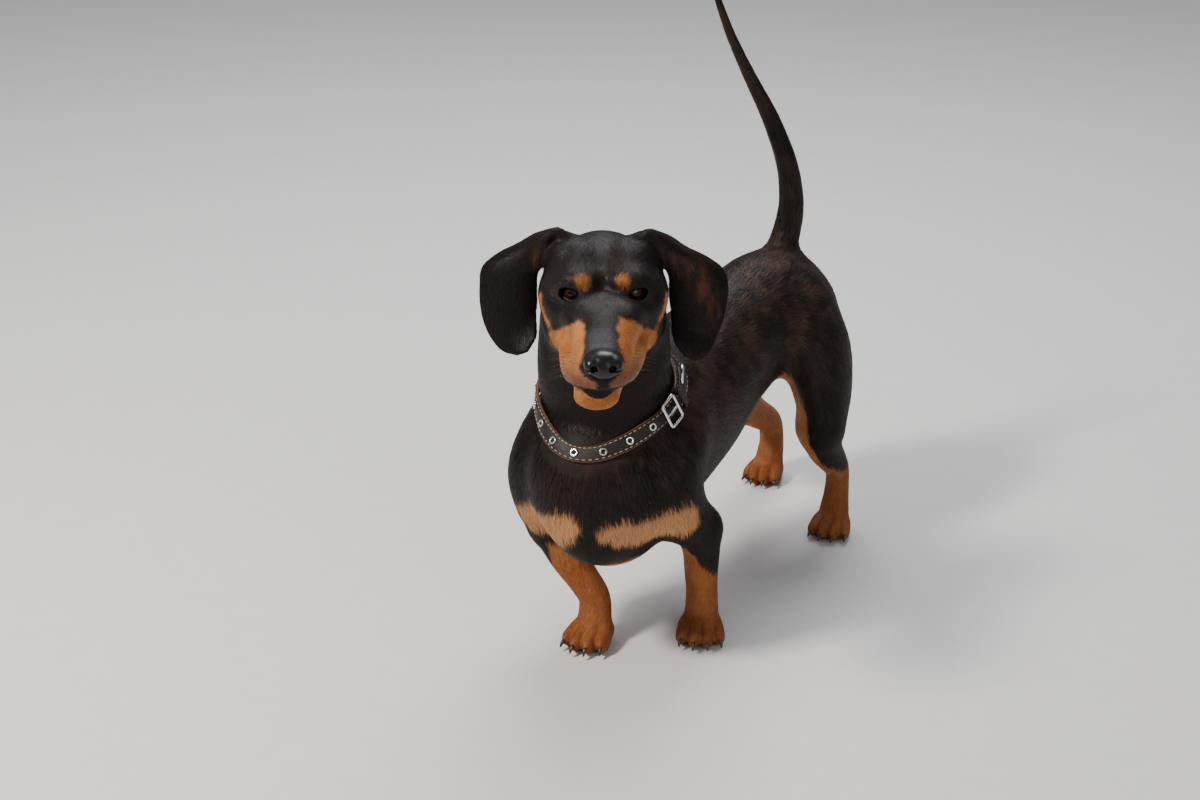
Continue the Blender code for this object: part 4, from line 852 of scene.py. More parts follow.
class SkinGrid:
    """The field on a fine grid, exact near the surface only."""

    BLOCK = 4

    def __init__(self, anatomy: Anatomy) -> None:
        """Fill the grid, block by block where the surface may pass."""
        self.axes = [
            graded_axis(-0.122, -0.115, 0.097, 0.102),
            graded_axis(-0.275, -0.268, -0.060, 0.290),
            graded_axis(-0.006, 0.238, 0.372, 0.512),
        ]
        shape = [len(a) for a in self.axes]
        blocks = [np.unique(np.append(np.arange(0, n, self.BLOCK), n - 1)) for n in shape]
        coarse_axes = [a[i] for a, i in zip(self.axes, blocks)]
        coarse = anatomy.value(grid_points(coarse_axes)).reshape([len(a) for a in coarse_axes])
        near = np.ones([len(b) - 1 for b in blocks]) * 1.0
        for a, b, c in CORNERS:
            part = coarse[a:len(blocks[0]) - 1 + a, b:len(blocks[1]) - 1 + b, c:len(blocks[2]) - 1 + c]
            near = np.minimum(near, np.abs(part))
        spans = [np.diff(a) for a in coarse_axes]
        reach = np.sqrt(sum(span ** 2 for span in np.meshgrid(*spans, indexing="ij")))
        mask = near < 0.75 * reach + 1.0 * MM
        far = coarse[:-1, :-1, :-1]
        for axis, n in enumerate(shape):
            here = np.minimum(np.arange(n) // self.BLOCK, mask.shape[axis] - 1)
            before = np.maximum((np.arange(n) - 1) // self.BLOCK, 0)
            mask = np.take(mask, here, axis) | np.take(mask, before, axis)
            far = np.take(far, here, axis)
        self.values = np.where(far < 0.0, -0.02, 0.02).astype(np.float32)
        places = np.nonzero(mask)
        points = np.stack([a[i] for a, i in zip(self.axes, places)], 1)
        LOG.info("grid %s, %d places near the skin", shape, len(points))
        self.values[places] = anatomy.value(points)
        self.inner = self.values.copy()
        self.inner[places] += coat_depth(points)
        floor = (SOLE_LIFT - self.axes[2]).astype(np.float32)
        self.inner = np.maximum(self.inner, floor[None, None, :])

    def sample(self, points: Array) -> Array:
        """The field between grid places."""
        low = []
        share = []
        for k in range(3):
            i = np.clip(np.searchsorted(self.axes[k], points[:, k]) - 1, 0, len(self.axes[k]) - 2)
            share.append((points[:, k] - self.axes[k][i]) / (self.axes[k][i + 1] - self.axes[k][i]))
            low.append(i)
        total = np.zeros(len(points))
        for corner in CORNERS:
            total += corner_share(share, corner) * self.values[tuple(i + k for i, k in zip(low, corner))]
        return total

    def slope(self, points: Array) -> tuple[Array, Array]:
        """The field and its outward direction."""
        step = 1.2 * MM
        columns = [self.sample(points + np.eye(3)[k] * step) - self.sample(points - np.eye(3)[k] * step)
                   for k in range(3)]
        return self.sample(points), units(np.stack(columns, 1))


def surface_net(values: Array, axes: list) -> tuple[Array, Array]:
    """Vertices and quads of the zero surface, one vertex in each cell it crosses.

    Args:
        values: The field on a grid.
        axes: Grid places along each axis.

    Returns:
        Vertex places and quads of vertex numbers, facing outward.
    """
    inside = values < 0.0
    nx, ny, nz = values.shape
    count = sum(inside[a:nx - 1 + a, b:ny - 1 + b, c:nz - 1 + c].astype(np.int8) for a, b, c in CORNERS)
    cells = np.array(np.nonzero((count > 0) & (count < 8))).T
    index = np.full(count.shape, -1, np.int32)
    index[tuple(cells.T)] = np.arange(len(cells))
    total = np.zeros((len(cells), 3))
    hits = np.zeros(len(cells))
    for corner in CORNERS:
        for axis in range(3):
            if corner[axis]:
                continue
            a = cells + corner
            b = a.copy()
            b[:, axis] += 1
            va = values[tuple(a.T)].astype(float)
            vb = values[tuple(b.T)].astype(float)
            cross = (va < 0.0) != (vb < 0.0)
            t = np.where(cross, va / np.where(cross, va - vb, 1.0), 0.0)
            place = np.stack([axes[n][a[:, n]] for n in range(3)], 1)
            place[:, axis] += t * (axes[axis][b[:, axis]] - axes[axis][a[:, axis]])
            total += place * cross[:, None]
            hits += cross
    quads = []
    for axis in range(3):
        low = [slice(1, -1)] * 3
        high = [slice(1, -1)] * 3
        low[axis] = slice(None, -1)
        high[axis] = slice(1, None)
        start = np.array(np.nonzero(inside[tuple(low)] != inside[tuple(high)])).T
        for n in range(3):
            if n != axis:
                start[:, n] += 1
        p, q = [n for n in range(3) if n != axis]
        ring = []
        for dp, dq in ((-1, -1), (0, -1), (0, 0), (-1, 0)):
            cell = start.copy()
            cell[:, p] += dp
            cell[:, q] += dq
            ring.append(index[tuple(cell.T)])
        quad = np.stack(ring, 1)
        outward = inside[tuple(start.T)]
        if axis == 1:
            outward = ~outward
        quad[~outward] = quad[~outward][:, ::-1]
        quads.append(quad)
    return total / hits[:, None], np.concatenate(quads)


def relaxed(vertices: Array, quads: Array, rounds: int, share: float) -> Array:
    """Vertices drawn towards the middle of their neighbours."""
    a = quads.ravel()
    b = np.roll(quads, -1, 1).ravel()
    both = np.concatenate([a, b])
    other = np.concatenate([b, a])
    count = np.bincount(both, minlength=len(vertices))[:, None]
    for _ in range(rounds):
        total = np.stack([np.bincount(both, vertices[other, k], len(vertices)) for k in range(3)], 1)
        vertices = vertices + share * (total / np.maximum(count, 1) - vertices)
    return vertices


def face_ways(corner: Array) -> Array:
    """The outward direction of each face, as long as twice its area."""
    return np.cross(corner[:, 2] - corner[:, 0], corner[:, 3] - corner[:, 1])


def vertex_normals(vertices: Array, quads: Array) -> Array:
    """Outward direction at each vertex."""
    corner = vertices[quads]
    face = face_ways(corner)
    total = np.stack([np.bincount(quads.ravel(), np.repeat(way, 4), len(vertices)) for way in face.T], 1)
    return units(total)


class Unwrap:
    """Flat charts of the skin: patches that face one way, laid side by side."""

    GAP = 0.0015

    def __init__(self, vertices: Array, quads: Array) -> None:
        """Sort the faces into charts and lay them on the unit square."""
        corner = vertices[quads]
        face = face_ways(corner)
        way = np.abs(face).argmax(1)
        label = way * 2 + (face[np.arange(len(face)), way] > 0)
        pairs = self.neighbours(quads)
        for _ in range(8):
            votes = np.zeros((len(quads), 6))
            votes[np.arange(len(quads)), label] = 1.2
            np.add.at(votes, (pairs[:, 0], label[pairs[:, 1]]), 1.0)
            np.add.at(votes, (pairs[:, 1], label[pairs[:, 0]]), 1.0)
            label = votes.argmax(1)
        chart = np.arange(len(quads))
        same = pairs[label[pairs[:, 0]] == label[pairs[:, 1]]]
        while True:
            low = np.minimum(chart[same[:, 0]], chart[same[:, 1]])
            fresh = chart.copy()
            np.minimum.at(fresh, same[:, 0], low)
            np.minimum.at(fresh, same[:, 1], low)
            fresh = fresh[fresh]
            if np.array_equal(fresh, chart):
                break
            chart = fresh
        _, chart = np.unique(chart, return_inverse=True)
        first = np.zeros(chart.max() + 1, int)
        first[chart] = label
        keep = np.array([(1, 2), (0, 2), (0, 1)])[label // 2]
        flat = np.stack([np.take_along_axis(corner, keep[:, None, k:k + 1].repeat(4, 1), 2)[:, :, 0]
                         for k in range(2)], 2)
        charts = chart.max() + 1
        low = np.full((charts, 2), 1e9)
        high = np.full((charts, 2), -1e9)
        for k in range(4):
            np.minimum.at(low, chart, flat[:, k])
            np.maximum.at(high, chart, flat[:, k])
        place, side = self.shelves(high - low)
        self.loops = (flat - low[chart][:, None, :] + place[chart][:, None, :]) / side
        LOG.info("unwrap: %d charts", charts)

    @staticmethod
    def neighbours(quads: Array) -> Array:
        """Pairs of faces that share an edge."""
        a = quads.ravel().astype(np.int64)
        b = np.roll(quads, -1, 1).ravel().astype(np.int64)
        key = np.minimum(a, b) * (quads.max() + 1) + np.maximum(a, b)
        face = np.repeat(np.arange(len(quads)), 4)
        order = np.argsort(key, kind="stable")
        key, face = key[order], face[order]
        twin = key[1:] == key[:-1]
        return np.stack([face[:-1][twin], face[1:][twin]], 1)

    def shelves(self, sizes: Array) -> tuple[Array, float]:
        """Places of boxes on shelves in a square, and the square's side."""
        order = np.argsort(-sizes[:, 1])
        side = math.sqrt(float((sizes[:, 0] * sizes[:, 1]).sum()))
        while True:
            gap = self.GAP * side
            place = np.zeros_like(sizes)
            x = y = gap
            shelf = 0.0
            for i in order:
                wide, tall = sizes[i]
                if x + wide + gap > side:
                    x = gap
                    y += shelf + gap
                    shelf = 0.0
                place[i] = (x, y)
                x += wide + gap
                shelf = max(shelf, tall)
            if y + shelf + gap <= side:
                return place, side
            side *= 1.04


# Colours, linear
BLACK = np.array((0.0055, 0.0048, 0.0052))
# Brown of the coat: a slight real tint, and painted sheen of light
TINT_AND_SHEEN_BROWN = np.array((0.062, 0.034, 0.023))
# Red-brown of the painted sheen and highlight on the ears
SHEEN_RED_BROWN = np.array((0.120, 0.042, 0.022))
TAN = np.array((0.37, 0.120, 0.026))
PALE_TAN = np.array((0.46, 0.200, 0.070))
FOOT_TAN = np.array((0.26, 0.080, 0.026))
CHEST_TAN = np.array((0.52, 0.265, 0.115))
DUSK = np.array((0.110, 0.062, 0.050))
# Grey of the painted sheen on the bridge
SHEEN_GREY = np.array((0.062, 0.060, 0.072))
LIP_BLACK = np.array((0.010, 0.008, 0.009))

# Marks on the head, and the painted sheen and highlight of the ears, in millimetres ahead, left and up of the
# eye midpoint
BROW_SPOT = ((6.0, 14.2, 7.6), (8.0, 4.6, 5.0))
CHEEK_STRIPE = ((-13, 46, -10), (-10, 45, -21), (-5, 41, -33), (6, 34, -40))
# Line of the painted sheen streak down the ear
EAR_SHEEN_STREAK = ((-50, 49, 22), (-52, 66, 2), (-50, 88, -32))
# Line of the painted highlight along the right ear's front fold
EAR_FOLD_HIGHLIGHT = ((-44, 40, 31), (-46, 48, 10))

# Marks on the chest, in millimetres: ends of each patch and its half height there
CHEST_PATCHES = (
    ((-68, -140, 118), (-20, -169, 138), 19.0, 11.0), ((46, -106, 131), (12, -161, 135), 15.0, 9.5),
)


def line_distance(points: Array, line: object) -> Array:
    """Distance from each point to a polyline."""
    line = np.asarray(line, float)
    best = np.full(len(points), 1e9)
    for a, b in zip(line[:-1], line[1:]):
        t = np.clip((points - a) @ (b - a) / ((b - a) @ (b - a)), 0.0, 1.0)
        best = np.minimum(best, lengths(points - a - t[:, None] * (b - a)))
    return best


def either_side(h: Array) -> Array:
    """Head places with the right side laid on the left."""
    return np.stack([h[:, 0], np.abs(h[:, 1]), h[:, 2]], 1)


def tinted(colour: Array, share: Array, goal: Array) -> Array:
    """Colours drawn towards another by a share for each place."""
    return colour + share[:, None] * (goal - colour)


def ball_depth(points: Array, centre: tuple, radii: tuple) -> Array:
    """About how deep each point is in an ellipsoid, in its units."""
    k = lengths((points - np.array(centre)) / np.array(radii))
    return (1.0 - k) * min(radii)


class Markings:
    """The black and tan pattern, with painted sheen of light on the coat, read at any place on the dog."""

    @staticmethod
    def mouth_line() -> list:
        """The line of the mouth round the muzzle, in head millimetres."""
        left = [(f, s + swing(f), u) for f, s, u in MOUTH_LINE]
        right = [(f, -s + swing(f), u) for f, s, u in MOUTH_LINE[1:]]
        return right[::-1] + left

    def face_tan(self, h: Array) -> Array:
        """How deep each head place is in the tan of the face, in millimetres."""
        f, s, u = h.T
        either = either_side(h)
        spots = ball_depth(either, *BROW_SPOT)
        stripe = 5.0 - line_distance(either, CHEEK_STRIPE)
        under = ease(-31.0, -38.0, u)
        black = np.interp(f, (0, 30, 50, 64, 74, 90), (19, 14.5, 11, 11.5, 14, 15)) * (1.0 - 0.7 * under)
        saddle = np.abs(s + 1.5 * (1.0 - under)) - black
        line = np.interp(f, (-14, 2, 20, 34, 44, 60), (-34, -26.5, -20, -12, -3, 28)) - u
        muzzle = np.minimum.reduce([saddle, line, u + 49.0, f + 12.0])
        chin = np.minimum.reduce([f - 38.0, -46.0 - u, 70.0 + u])
        return np.maximum.reduce([spots, stripe, muzzle, chin])

    def body_tan(self, p: Array) -> Array:
        """How deep each body place is in the tan of chest and legs, in millimetres."""
        x, y, z = p.T
        front = y < 0.0
        patches = self.chest_patches(p)
        axis_x = np.where(front, np.where(x < -4, np.interp(z, (0, 50, 100), (-33, -44, -70)), 38.0),
                          np.where(x < -4, -45.0, 54.0))
        outer = np.clip((x - axis_x) * np.where(x < -4, -1.0, 1.0) / 16.0, -1.0, 1.0)
        fore = np.interp(outer, (-1, 0, 1), (96, 92, 58)) - z
        hind = np.interp(outer, (-1, -0.2, 0.35, 1), (172, 140, 78, 60)) - z
        hind = np.minimum(hind, y - 108.0)
        tail = ball_depth(p, (-9, 214, 226), (12, 12, 18))
        legs = np.where(front, np.where(z < 125, fore, -20.0), hind)
        return np.maximum.reduce([patches, legs, tail])

    @staticmethod
    def chest_patches(p: Array) -> Array:
        """How deep each body place is in the two patches of the chest, in millimetres."""
        best = np.full(len(p), -100.0)
        for start, end, wide, narrow in CHEST_PATCHES:
            start = np.array(start, float)
            span = np.array(end, float) - start
            t = np.clip((p - start) @ span / (span @ span), 0.0, 1.0)
            away = lengths(p - start - t[:, None] * span)
            best = np.maximum(best, wide + (narrow - wide) * t ** 1.5 - away)
        return best

    def colours(self, points: Array) -> tuple[Array, Array]:
        """Base colours, with painted sheen and highlights on the coat, and how bare of hair each place is.

        Args:
            points: Places in metres, before the centring shift.

        Returns:
            Linear colours, and bareness from 0 to 1.
        """
        p = points / MM
        h = head_places(points)
        coarse = lattice_noise(points, 7.0 * MM, 3)
        fine = lattice_noise(points, 1.6 * MM, 5)
        wave = 1.6 * coarse + 0.9 * fine
        face = ease(-1.6, 1.6, self.face_tan(h) + wave * 0.9)
        body = ease(-3.0, 3.0, self.body_tan(p) + wave * 1.8)
        is_face = (self.collar_height(points) < 0.0) & (h[:, 2] < 40.0)
        tan = np.where(is_face, face, body)
        # Brown in the black coat: a slight real tint everywhere, and painted sheen of light that grows higher
        # on the body and on the lit left side of the neck
        warm = ease(-0.4, 0.9, lattice_noise(points, 26.0 * MM, 9) + 0.25 * coarse)
        high = ease(120.0, 240.0, p[:, 2])
        left_neck = ease(-30.0, 10.0, p[:, 0]) * ease(330.0, 290.0, p[:, 2])
        lit = left_neck * high * ease(-0.5, 0.6, coarse)
        brown_tint_and_sheen = np.clip(0.12 + 0.45 * warm * high + 0.45 * lit, 0, 1)
        brown_tint_and_sheen = np.where(is_face, 0.10 + 0.1 * warm, brown_tint_and_sheen)
        f, s, u = h.T
        ear = is_face & (np.abs(s) > 47.0)
        brown_tint_and_sheen = np.where(ear, 0.10, brown_tint_and_sheen)
        colour = tinted(BLACK, brown_tint_and_sheen, TINT_AND_SHEEN_BROWN)
        # Painted sheen of light on the ears: red-brown streaks broken up by noise
        flare = ease(-0.3, 0.7, lattice_noise(points * (1.0, 1.0, 0.5), 4.0 * MM, 21))
        sheen_streak = ease(13.0, 2.0, line_distance(h, EAR_SHEEN_STREAK)) * flare * ear
        # Painted highlight along the front fold of the right ear
        fold_highlight = ease(7.0, 2.0, line_distance(h * (1, -1, 1), EAR_FOLD_HIGHLIGHT)) * ear * (s < 0)
        colour = tinted(colour, np.maximum(0.6 * sheen_streak, 0.5 * fold_highlight), SHEEN_RED_BROWN)
        # Painted sheen of light: grey along the top of the bridge towards the nose
        bridge_sheen = is_face * ease(14.0, 4.0, np.abs(s + 1.5)) * ease(44.0, 66.0, f)
        colour = tinted(colour, 0.8 * bridge_sheen * ease(-34.0, -20.0, u), SHEEN_GREY)
        pale = ease(-0.6, 0.8, lattice_noise(points, 12.0 * MM, 31) + 0.5 * fine)
        rust = tinted(TAN, 0.65 * pale, PALE_TAN)
        dusk = is_face * ease(34.0, 72.0, f) * ease(-24.0, -40.0, u)
        rust = tinted(rust, 0.72 * dusk * ease(-50.0, -46.0, u), DUSK)
        low = ease(110.0, 50.0, p[:, 2])
        rust = tinted(rust, low * (0.55 + 0.35 * ease(-0.6, 0.6, coarse)), FOOT_TAN)
        chest = ease(-6.0, 2.0, self.chest_patches(p))
        rust = tinted(rust, 0.8 * chest, CHEST_TAN)
        spot = ease(-3.0, 0.0, ball_depth(either_side(h), *BROW_SPOT)) * is_face
        rust = rust * (1.0 - 0.38 * spot[:, None])
        colour = tinted(colour, tan, rust)
        mouth = line_distance(h, self.mouth_line())
        lip_width = np.interp(f, (0, 60, 78), (1.4, 1.9, 2.9))
        drop = np.where(u < -45.0, 1.0, 1.5)
        lip = is_face * ease(1.0, -0.6, mouth * drop - lip_width)
        crescent = 9.0 * (1.0 - ((s + 3.5) / 15.0) ** 2)
        lower = ease(0.6, -0.6, -44.5 - u - crescent) * ease(-43.5, -45.0, u)
        bare = np.maximum(lip, is_face * (f > 66.0) * lower)
        for mirror in (1, -1):
            g = (points - eye_place(mirror)) @ eye_axes(mirror).T / MM
            wide, tall = LID_OPENING[1] + 1.9, LID_OPENING[2] + 1.8
            rim = 1.0 - np.sqrt((g[:, 1] / wide) ** 2 + (g[:, 2] / tall) ** 2)
            rim = ease(-0.10, 0.06, rim) * (g[:, 0] > 2.0)
            bare = np.maximum(bare, rim)
        nose_rim = ease(-0.3, 0.5, ball_depth(h, NOSE_CENTRE, tuple(r + 1.6 for r in NOSE_RADII)))
        bare = np.maximum(bare, nose_rim * is_face)
        colour = tinted(colour, bare, LIP_BLACK)
        return colour, bare

    @staticmethod
    def collar_height(points: Array) -> Array:
        """Millimetres below the collar's plane, so the head's side is negative."""
        return -((points - metres(COLLAR_CENTRE)) @ unit(COLLAR_NORMAL)) / MM


class Lie:
    """Which way the hair lies, from a few places spread over the dog."""

    HEAD = (
        ((85, 0, -18), (-1, 0, 0.4)), ((55, 0, -10), (-1, 0, 0.12)), ((25, 0, 0), (-1, 0, 0.15)),
        ((40, 22, -30), (-1, 0.1, -0.25)), ((72, 17, -36), (-0.9, 0.25, -0.35)),
        ((60, 0, -62), (-1, 0, -0.1)), ((84, 0, -42), (-0.3, 0, -1)), ((4, 15, 10), (-0.8, 0.35, 0.5)),
        ((0, 0, 12), (-1, 0, 0.6)), ((-12, 36, 0), (-1, 0.15, -0.1)), ((-40, 0, 28), (-1, 0, 0)),
        ((-45, 24, 24), (-0.8, 0.5, -0.3)), ((-20, 40, -30), (-0.9, 0, -0.5)),
        ((-60, 30, -30), (-0.6, 0, -0.9)), ((0, 15, -60), (-1, 0, -0.2)), ((-52, 48, 27), (0, 1, -0.35)),
        ((-55, 70, 12), (0, 0.75, -0.75)), ((-52, 84, -8), (0.05, 0.25, -1)),
        ((-50, 75, -30), (0.05, -0.05, -1)), ((-45, 66, -54), (0.1, -0.2, -1)),
        ((-40, 52, -20), (0, 0.05, -1)), ((-40, 46, 12), (0, 0.2, -1)),
        ((-30, 12, -74), (-0.15, 0.1, -1)), ((-24, 24, -84), (0, 0.1, -1)), ((-14, 0, -90), (0, 0, -1)),
        ((-14, 12, -104), (0, 0, -1)), ((-40, 40, -80), (-0.1, 0, -1)),
    )
    BODY = (
        ((-20, -50, 320), (0, 0.6, -0.7)), ((-20, -48, 260), (0, 0.5, -0.8)),
        ((-22, -150, 262), (0, -0.1, -1)), ((22, -110, 240), (0.1, 0.25, -1)),
        ((-66, -110, 240), (-0.1, 0.25, -1)), ((-22, -40, 232), (0, 1, -0.2)),
        ((-16, 40, 242), (0, 1, 0)), ((-8, 130, 255), (0, 1, 0.03)), ((-5, 192, 246), (0, 0.9, -0.3)),
        ((42, -20, 175), (0.05, 0.9, -0.5)), ((-88, -20, 175), (-0.05, 0.9, -0.5)),
        ((38, 70, 185), (0, 0.95, -0.3)), ((-62, 70, 185), (0, 0.95, -0.3)), ((-20, 0, 95), (0, 1, 0.1)),
        ((-15, 70, 130), (0, 1, 0.1)), ((-10, -170, 185), (0, -0.1, -1)), ((-10, -172, 145), (0, 0, -1)),
        ((-14, -145, 100), (0, 0.5, -0.9)), ((28, -135, 140), (0.3, 0.1, -1)),
        ((-48, -150, 140), (-0.3, 0.1, -1)), ((-92, -100, 165), (-0.1, 0.45, -0.9)),
        ((52, -90, 165), (0.1, 0.45, -0.9)), ((-75, -105, 100), (0.1, 0.1, -1)),
        ((-45, -100, 50), (0, 0, -1)), ((40, -62, 90), (0, 0.1, -1)), ((36, -48, 45), (0, 0, -1)),
        ((-33, -122, 14), (0, -1, -0.35)), ((44, -74, 14), (0.35, -0.9, -0.35)),
        ((-68, 165, 180), (0, 0.5, -0.85)), ((70, 160, 180), (0, 0.5, -0.85)),
        ((-48, 215, 160), (0, 0.1, -1)), ((48, 206, 160), (0, 0.1, -1)),
        ((-48, 212, 90), (0, 0.5, -0.85)), ((54, 166, 88), (0, 0.45, -0.9)), ((-40, 262, 40), (0, 0, -1)),
        ((57, 188, 40), (0, 0, -1)), ((-39, 232, 14), (0, -1, -0.35)), ((62, 155, 14), (0.15, -1, -0.35)),
        ((-60, 150, 130), (0, 0.2, -1)), ((58, 140, 130), (0, 0.2, -1)),
    )
    REACH = 22.0 * MM

    def __init__(self) -> None:
        """Gather the places and directions, both sides of the head, and along the tail."""
        places = []
        ways = []
        for place, way in self.HEAD:
            for mirror in ((1,) if place[1] == 0 else (1, -1)):
                places.append(head_point(place[0], place[1] * mirror, place[2]))
                ways.append(np.array([way[0], way[1] * mirror, way[2]]) @ HEAD_AXES)
        for place, way in self.BODY:
            places.append(metres(place))
            ways.append(np.array(way, float))
        tail = metres(TAIL)[:, :3]
        for a, b in zip(tail[1:-1], tail[2:]):
            places.append(0.5 * (a + b))
            ways.append(b - a)
        self.places = np.array(places)
        self.ways = units(np.array(ways))

    def at(self, points: Array) -> Array:
        """The hair's direction at each point, not yet laid on the skin."""
        total = np.zeros_like(points)
        for place, way in zip(self.places, self.ways):
            away = ((points - place) ** 2).sum(1) / self.REACH ** 2 + 0.05
            total += way / (away ** 2)[:, None]
        return units(total)


class Skin:
    """The dog's one skin, with its markings and unwrap."""

    def __init__(self, grid: SkinGrid, markings: Markings) -> None:
        """Draw the skin from the grid."""
        vertices, self.quads = surface_net(grid.inner, grid.axes)
        self.vertices = relaxed(vertices, self.quads, 2, 0.5)
        self.normals = vertex_normals(self.vertices, self.quads)
        self.colours, self.bare = markings.colours(self.vertices)
        self.unwrap = Unwrap(self.vertices, self.quads)
        LOG.info("skin: %d vertices, %d quads", len(self.vertices), len(self.quads))

    def build(self, finish: Finish) -> Thing:
        """The skin as a mesh object."""
        thing = quad_object("skin", self.vertices, self.quads)
        set_colours(thing.data, self.colours)
        set_numbers(thing.data, "bare", self.bare)
        set_map(thing.data, self.unwrap.loops.reshape(-1, 2))
        return dressed(thing, finish)


@dataclass
class Coat:
    """Short tufts that lie along the skin, finest on the face and feet."""

    tufts: int = 330000
    per_piece: int = 60000
    patch: float = 0.003
    seed: int = 12
    lift: float = 0.45

    def measures(self, points: Array) -> tuple[Array, Array]:
        """Length and width of the hair at each place, in metres."""
        h = head_places(points)
        p = points / MM
        on_head = ease(2.0, -8.0, Markings.collar_height(points))
        on_head = on_head * ease(230.0, 150.0, lengths(h))
        muzzle = ease(0.0, 60.0, h[:, 0])
        ear = ease(44.0, 52.0, np.abs(h[:, 1]))
        head_length = 4.6 + 2.6 * ear - 2.4 * muzzle
        body_length = np.interp(p[:, 2], (0, 25, 60, 110, 180, 600), (3.2, 4.2, 6.5, 9.0, 10.5, 10.5))
        length = body_length + on_head * (head_length - body_length)
        width = 0.030 * length + 0.26
        return length * MM, width * MM

    def density(self, points: Array) -> Array:
        """Share of tufts for each unit of skin."""
        length, width = self.measures(points)
        return 1.0 / (length * width) ** 0.8

    def build(self, skin: Skin, grid: SkinGrid, lie: Lie, finish: Finish) -> list[Thing]:
        """All tufts as a few joined meshes.

        Args:
            skin: Where the tufts grow.
            grid: The field that they follow.
            lie: Which way they lie.
            finish: Their material.

        Returns:
            The pieces, each of at most per_piece tufts. The pieces, each under the
            limit of triangles.
        """
        rng = np.random.default_rng(self.seed)
        corner = skin.vertices[skin.quads]
        middle = corner.mean(1)
        area = lengths(face_ways(corner))
        bare = skin.bare[skin.quads].mean(1)
        strap = ease(6.5, 9.0, np.abs(Markings.collar_height(middle)))
        near_strap = lengths(middle - metres(COLLAR_CENTRE)) < 0.08
        strap = np.where(near_strap, strap, 1.0)
        soles = ease(0.8 * MM, 2.5 * MM, middle[:, 2])
        chance = area * self.density(middle) * (1.0 - ease(0.15, 0.6, bare)) * strap * soles
        face = rng.choice(len(chance), self.tufts, p=chance / chance.sum())
        face = face[np.argsort(middle[face, 1], kind="stable")]
        a, b = rng.random((2, self.tufts))
        share = np.stack([(1 - a) * (1 - b), a * (1 - b), a * b, (1 - a) * b], 1)[:, :, None]
        root = (corner[face] * share).sum(1)
        normal = units((skin.normals[skin.quads[face]] * share).sum(1))
        colour = (skin.colours[skin.quads[face]] * share).sum(1)
        spot = (skin.unwrap.loops[face] * share).sum(1)
        length, width = self.measures(root)
        length = length * rng.uniform(0.7, 1.25, self.tufts)
        width = width * rng.uniform(0.7, 1.2, self.tufts)
        way = lie.at(root)
        way = units(way - (way * normal).sum(1)[:, None] * normal)
        side = np.cross(normal, way)
        swirl = 0.16 * lattice_noise(root, 6.0 * MM, 41) + rng.normal(0.0, 0.07, self.tufts)
        way = units(way + side * swirl[:, None])
        depth = coat_depth(root)
        places = [root - normal * 0.25 * MM]
        rolls = [np.cross(normal, way)]
        here = root
        for k, share_up in ((1, 0.55), (2, 1.0)):
            here = here + way * (0.5 * length)[:, None]
            value, out = grid.slope(here)
            rise = depth * (0.35 + self.lift * share_up * rng.uniform(0.6, 1.6, self.tufts))
            gap = np.clip(value + depth - rise, -0.35 * length, 0.35 * length)
            here = here - out * gap[:, None]
            way = units(way - (way * out).sum(1)[:, None] * out)
            places.append(here)
            rolls.append(np.cross(out, way) + out * rng.normal(0.0, 0.22, self.tufts)[:, None])
        shape = np.empty((self.tufts, 5, 3))
        for k, grow in ((0, 0.5), (1, 0.42)):
            half = units(rolls[k]) * (width * grow)[:, None]
            shape[:, 2 * k] = places[k] - half
            shape[:, 2 * k + 1] = places[k] + half
        shape[:, 4] = places[2]
        # Each tuft is painted darker at its root, as shade where the hairs cover each other, and a little
        # lighter at its tip, as painted light; its random tone for each tuft is real
        shade = rng.uniform(0.72, 1.30, self.tufts)[:, None]
        root_shaded_colours = np.stack([colour * shade * 0.75] * 2 + [colour * shade] * 2 + [colour * shade * 1.12], 1)
        half = 0.5 * self.patch
        offsets = np.array([(-half, -half), (half, -half), (-half, 0.0), (half, 0.0), (0.0, half)])
        spots = np.clip(spot[:, None, :] + offsets, 0.0, 1.0)
        pieces = []
        for n, start in enumerate(range(0, self.tufts, self.per_piece)):
            part = slice(start, start + self.per_piece)
            pieces.append(self.piece(f"coat_{n + 1}", shape[part], root_shaded_colours[part], spots[part], finish))
        return pieces

    @staticmethod
    def piece(name: str, shape: Array, colours: Array, spots: Array,
              finish: Finish) -> Thing:
        """Tufts as one mesh, a quad and a triangle each."""
        count = len(shape)
        order = np.array([0, 1, 3, 2, 2, 3, 4])
        loops = (np.arange(count)[:, None] * shape.shape[1] + order).ravel()
        starts = (np.arange(count)[:, None] * len(order) + np.array([0, 4])).ravel()
        thing = array_object(name, shape.reshape(-1, 3), loops, starts)
        set_colours(thing.data, colours.reshape(-1, 3))
        set_map(thing.data, spots[:, order].reshape(-1, 2))
        return dressed(thing, finish)


def walls(rows: int, around: int, closed: bool = False) -> list[tuple]:
    """Faces between rows of points that each go once round, the last row joined to the first if closed."""
    faces = []
    for i in range(rows if closed else rows - 1):
        a = i * around
        b = (i + 1) % rows * around
        faces += [(a + j, a + (j + 1) % around, b + (j + 1) % around, b + j) for j in range(around)]
    return faces


def capped(rows: int, around: int) -> list[tuple]:
    """Faces of rows of points with a flat face at each end."""
    last = (rows - 1) * around
    ends = tuple(reversed(range(around))), tuple(range(last, last + around))
    return [ends[0], *walls(rows, around), ends[1]]


def circle(count: int, wide: float, high: float) -> list[tuple[float, float]]:
    """Places round an ellipse."""
    turns = [math.tau * k / count for k in range(count)]
    return [(wide * math.cos(turn), high * math.sin(turn)) for turn in turns]


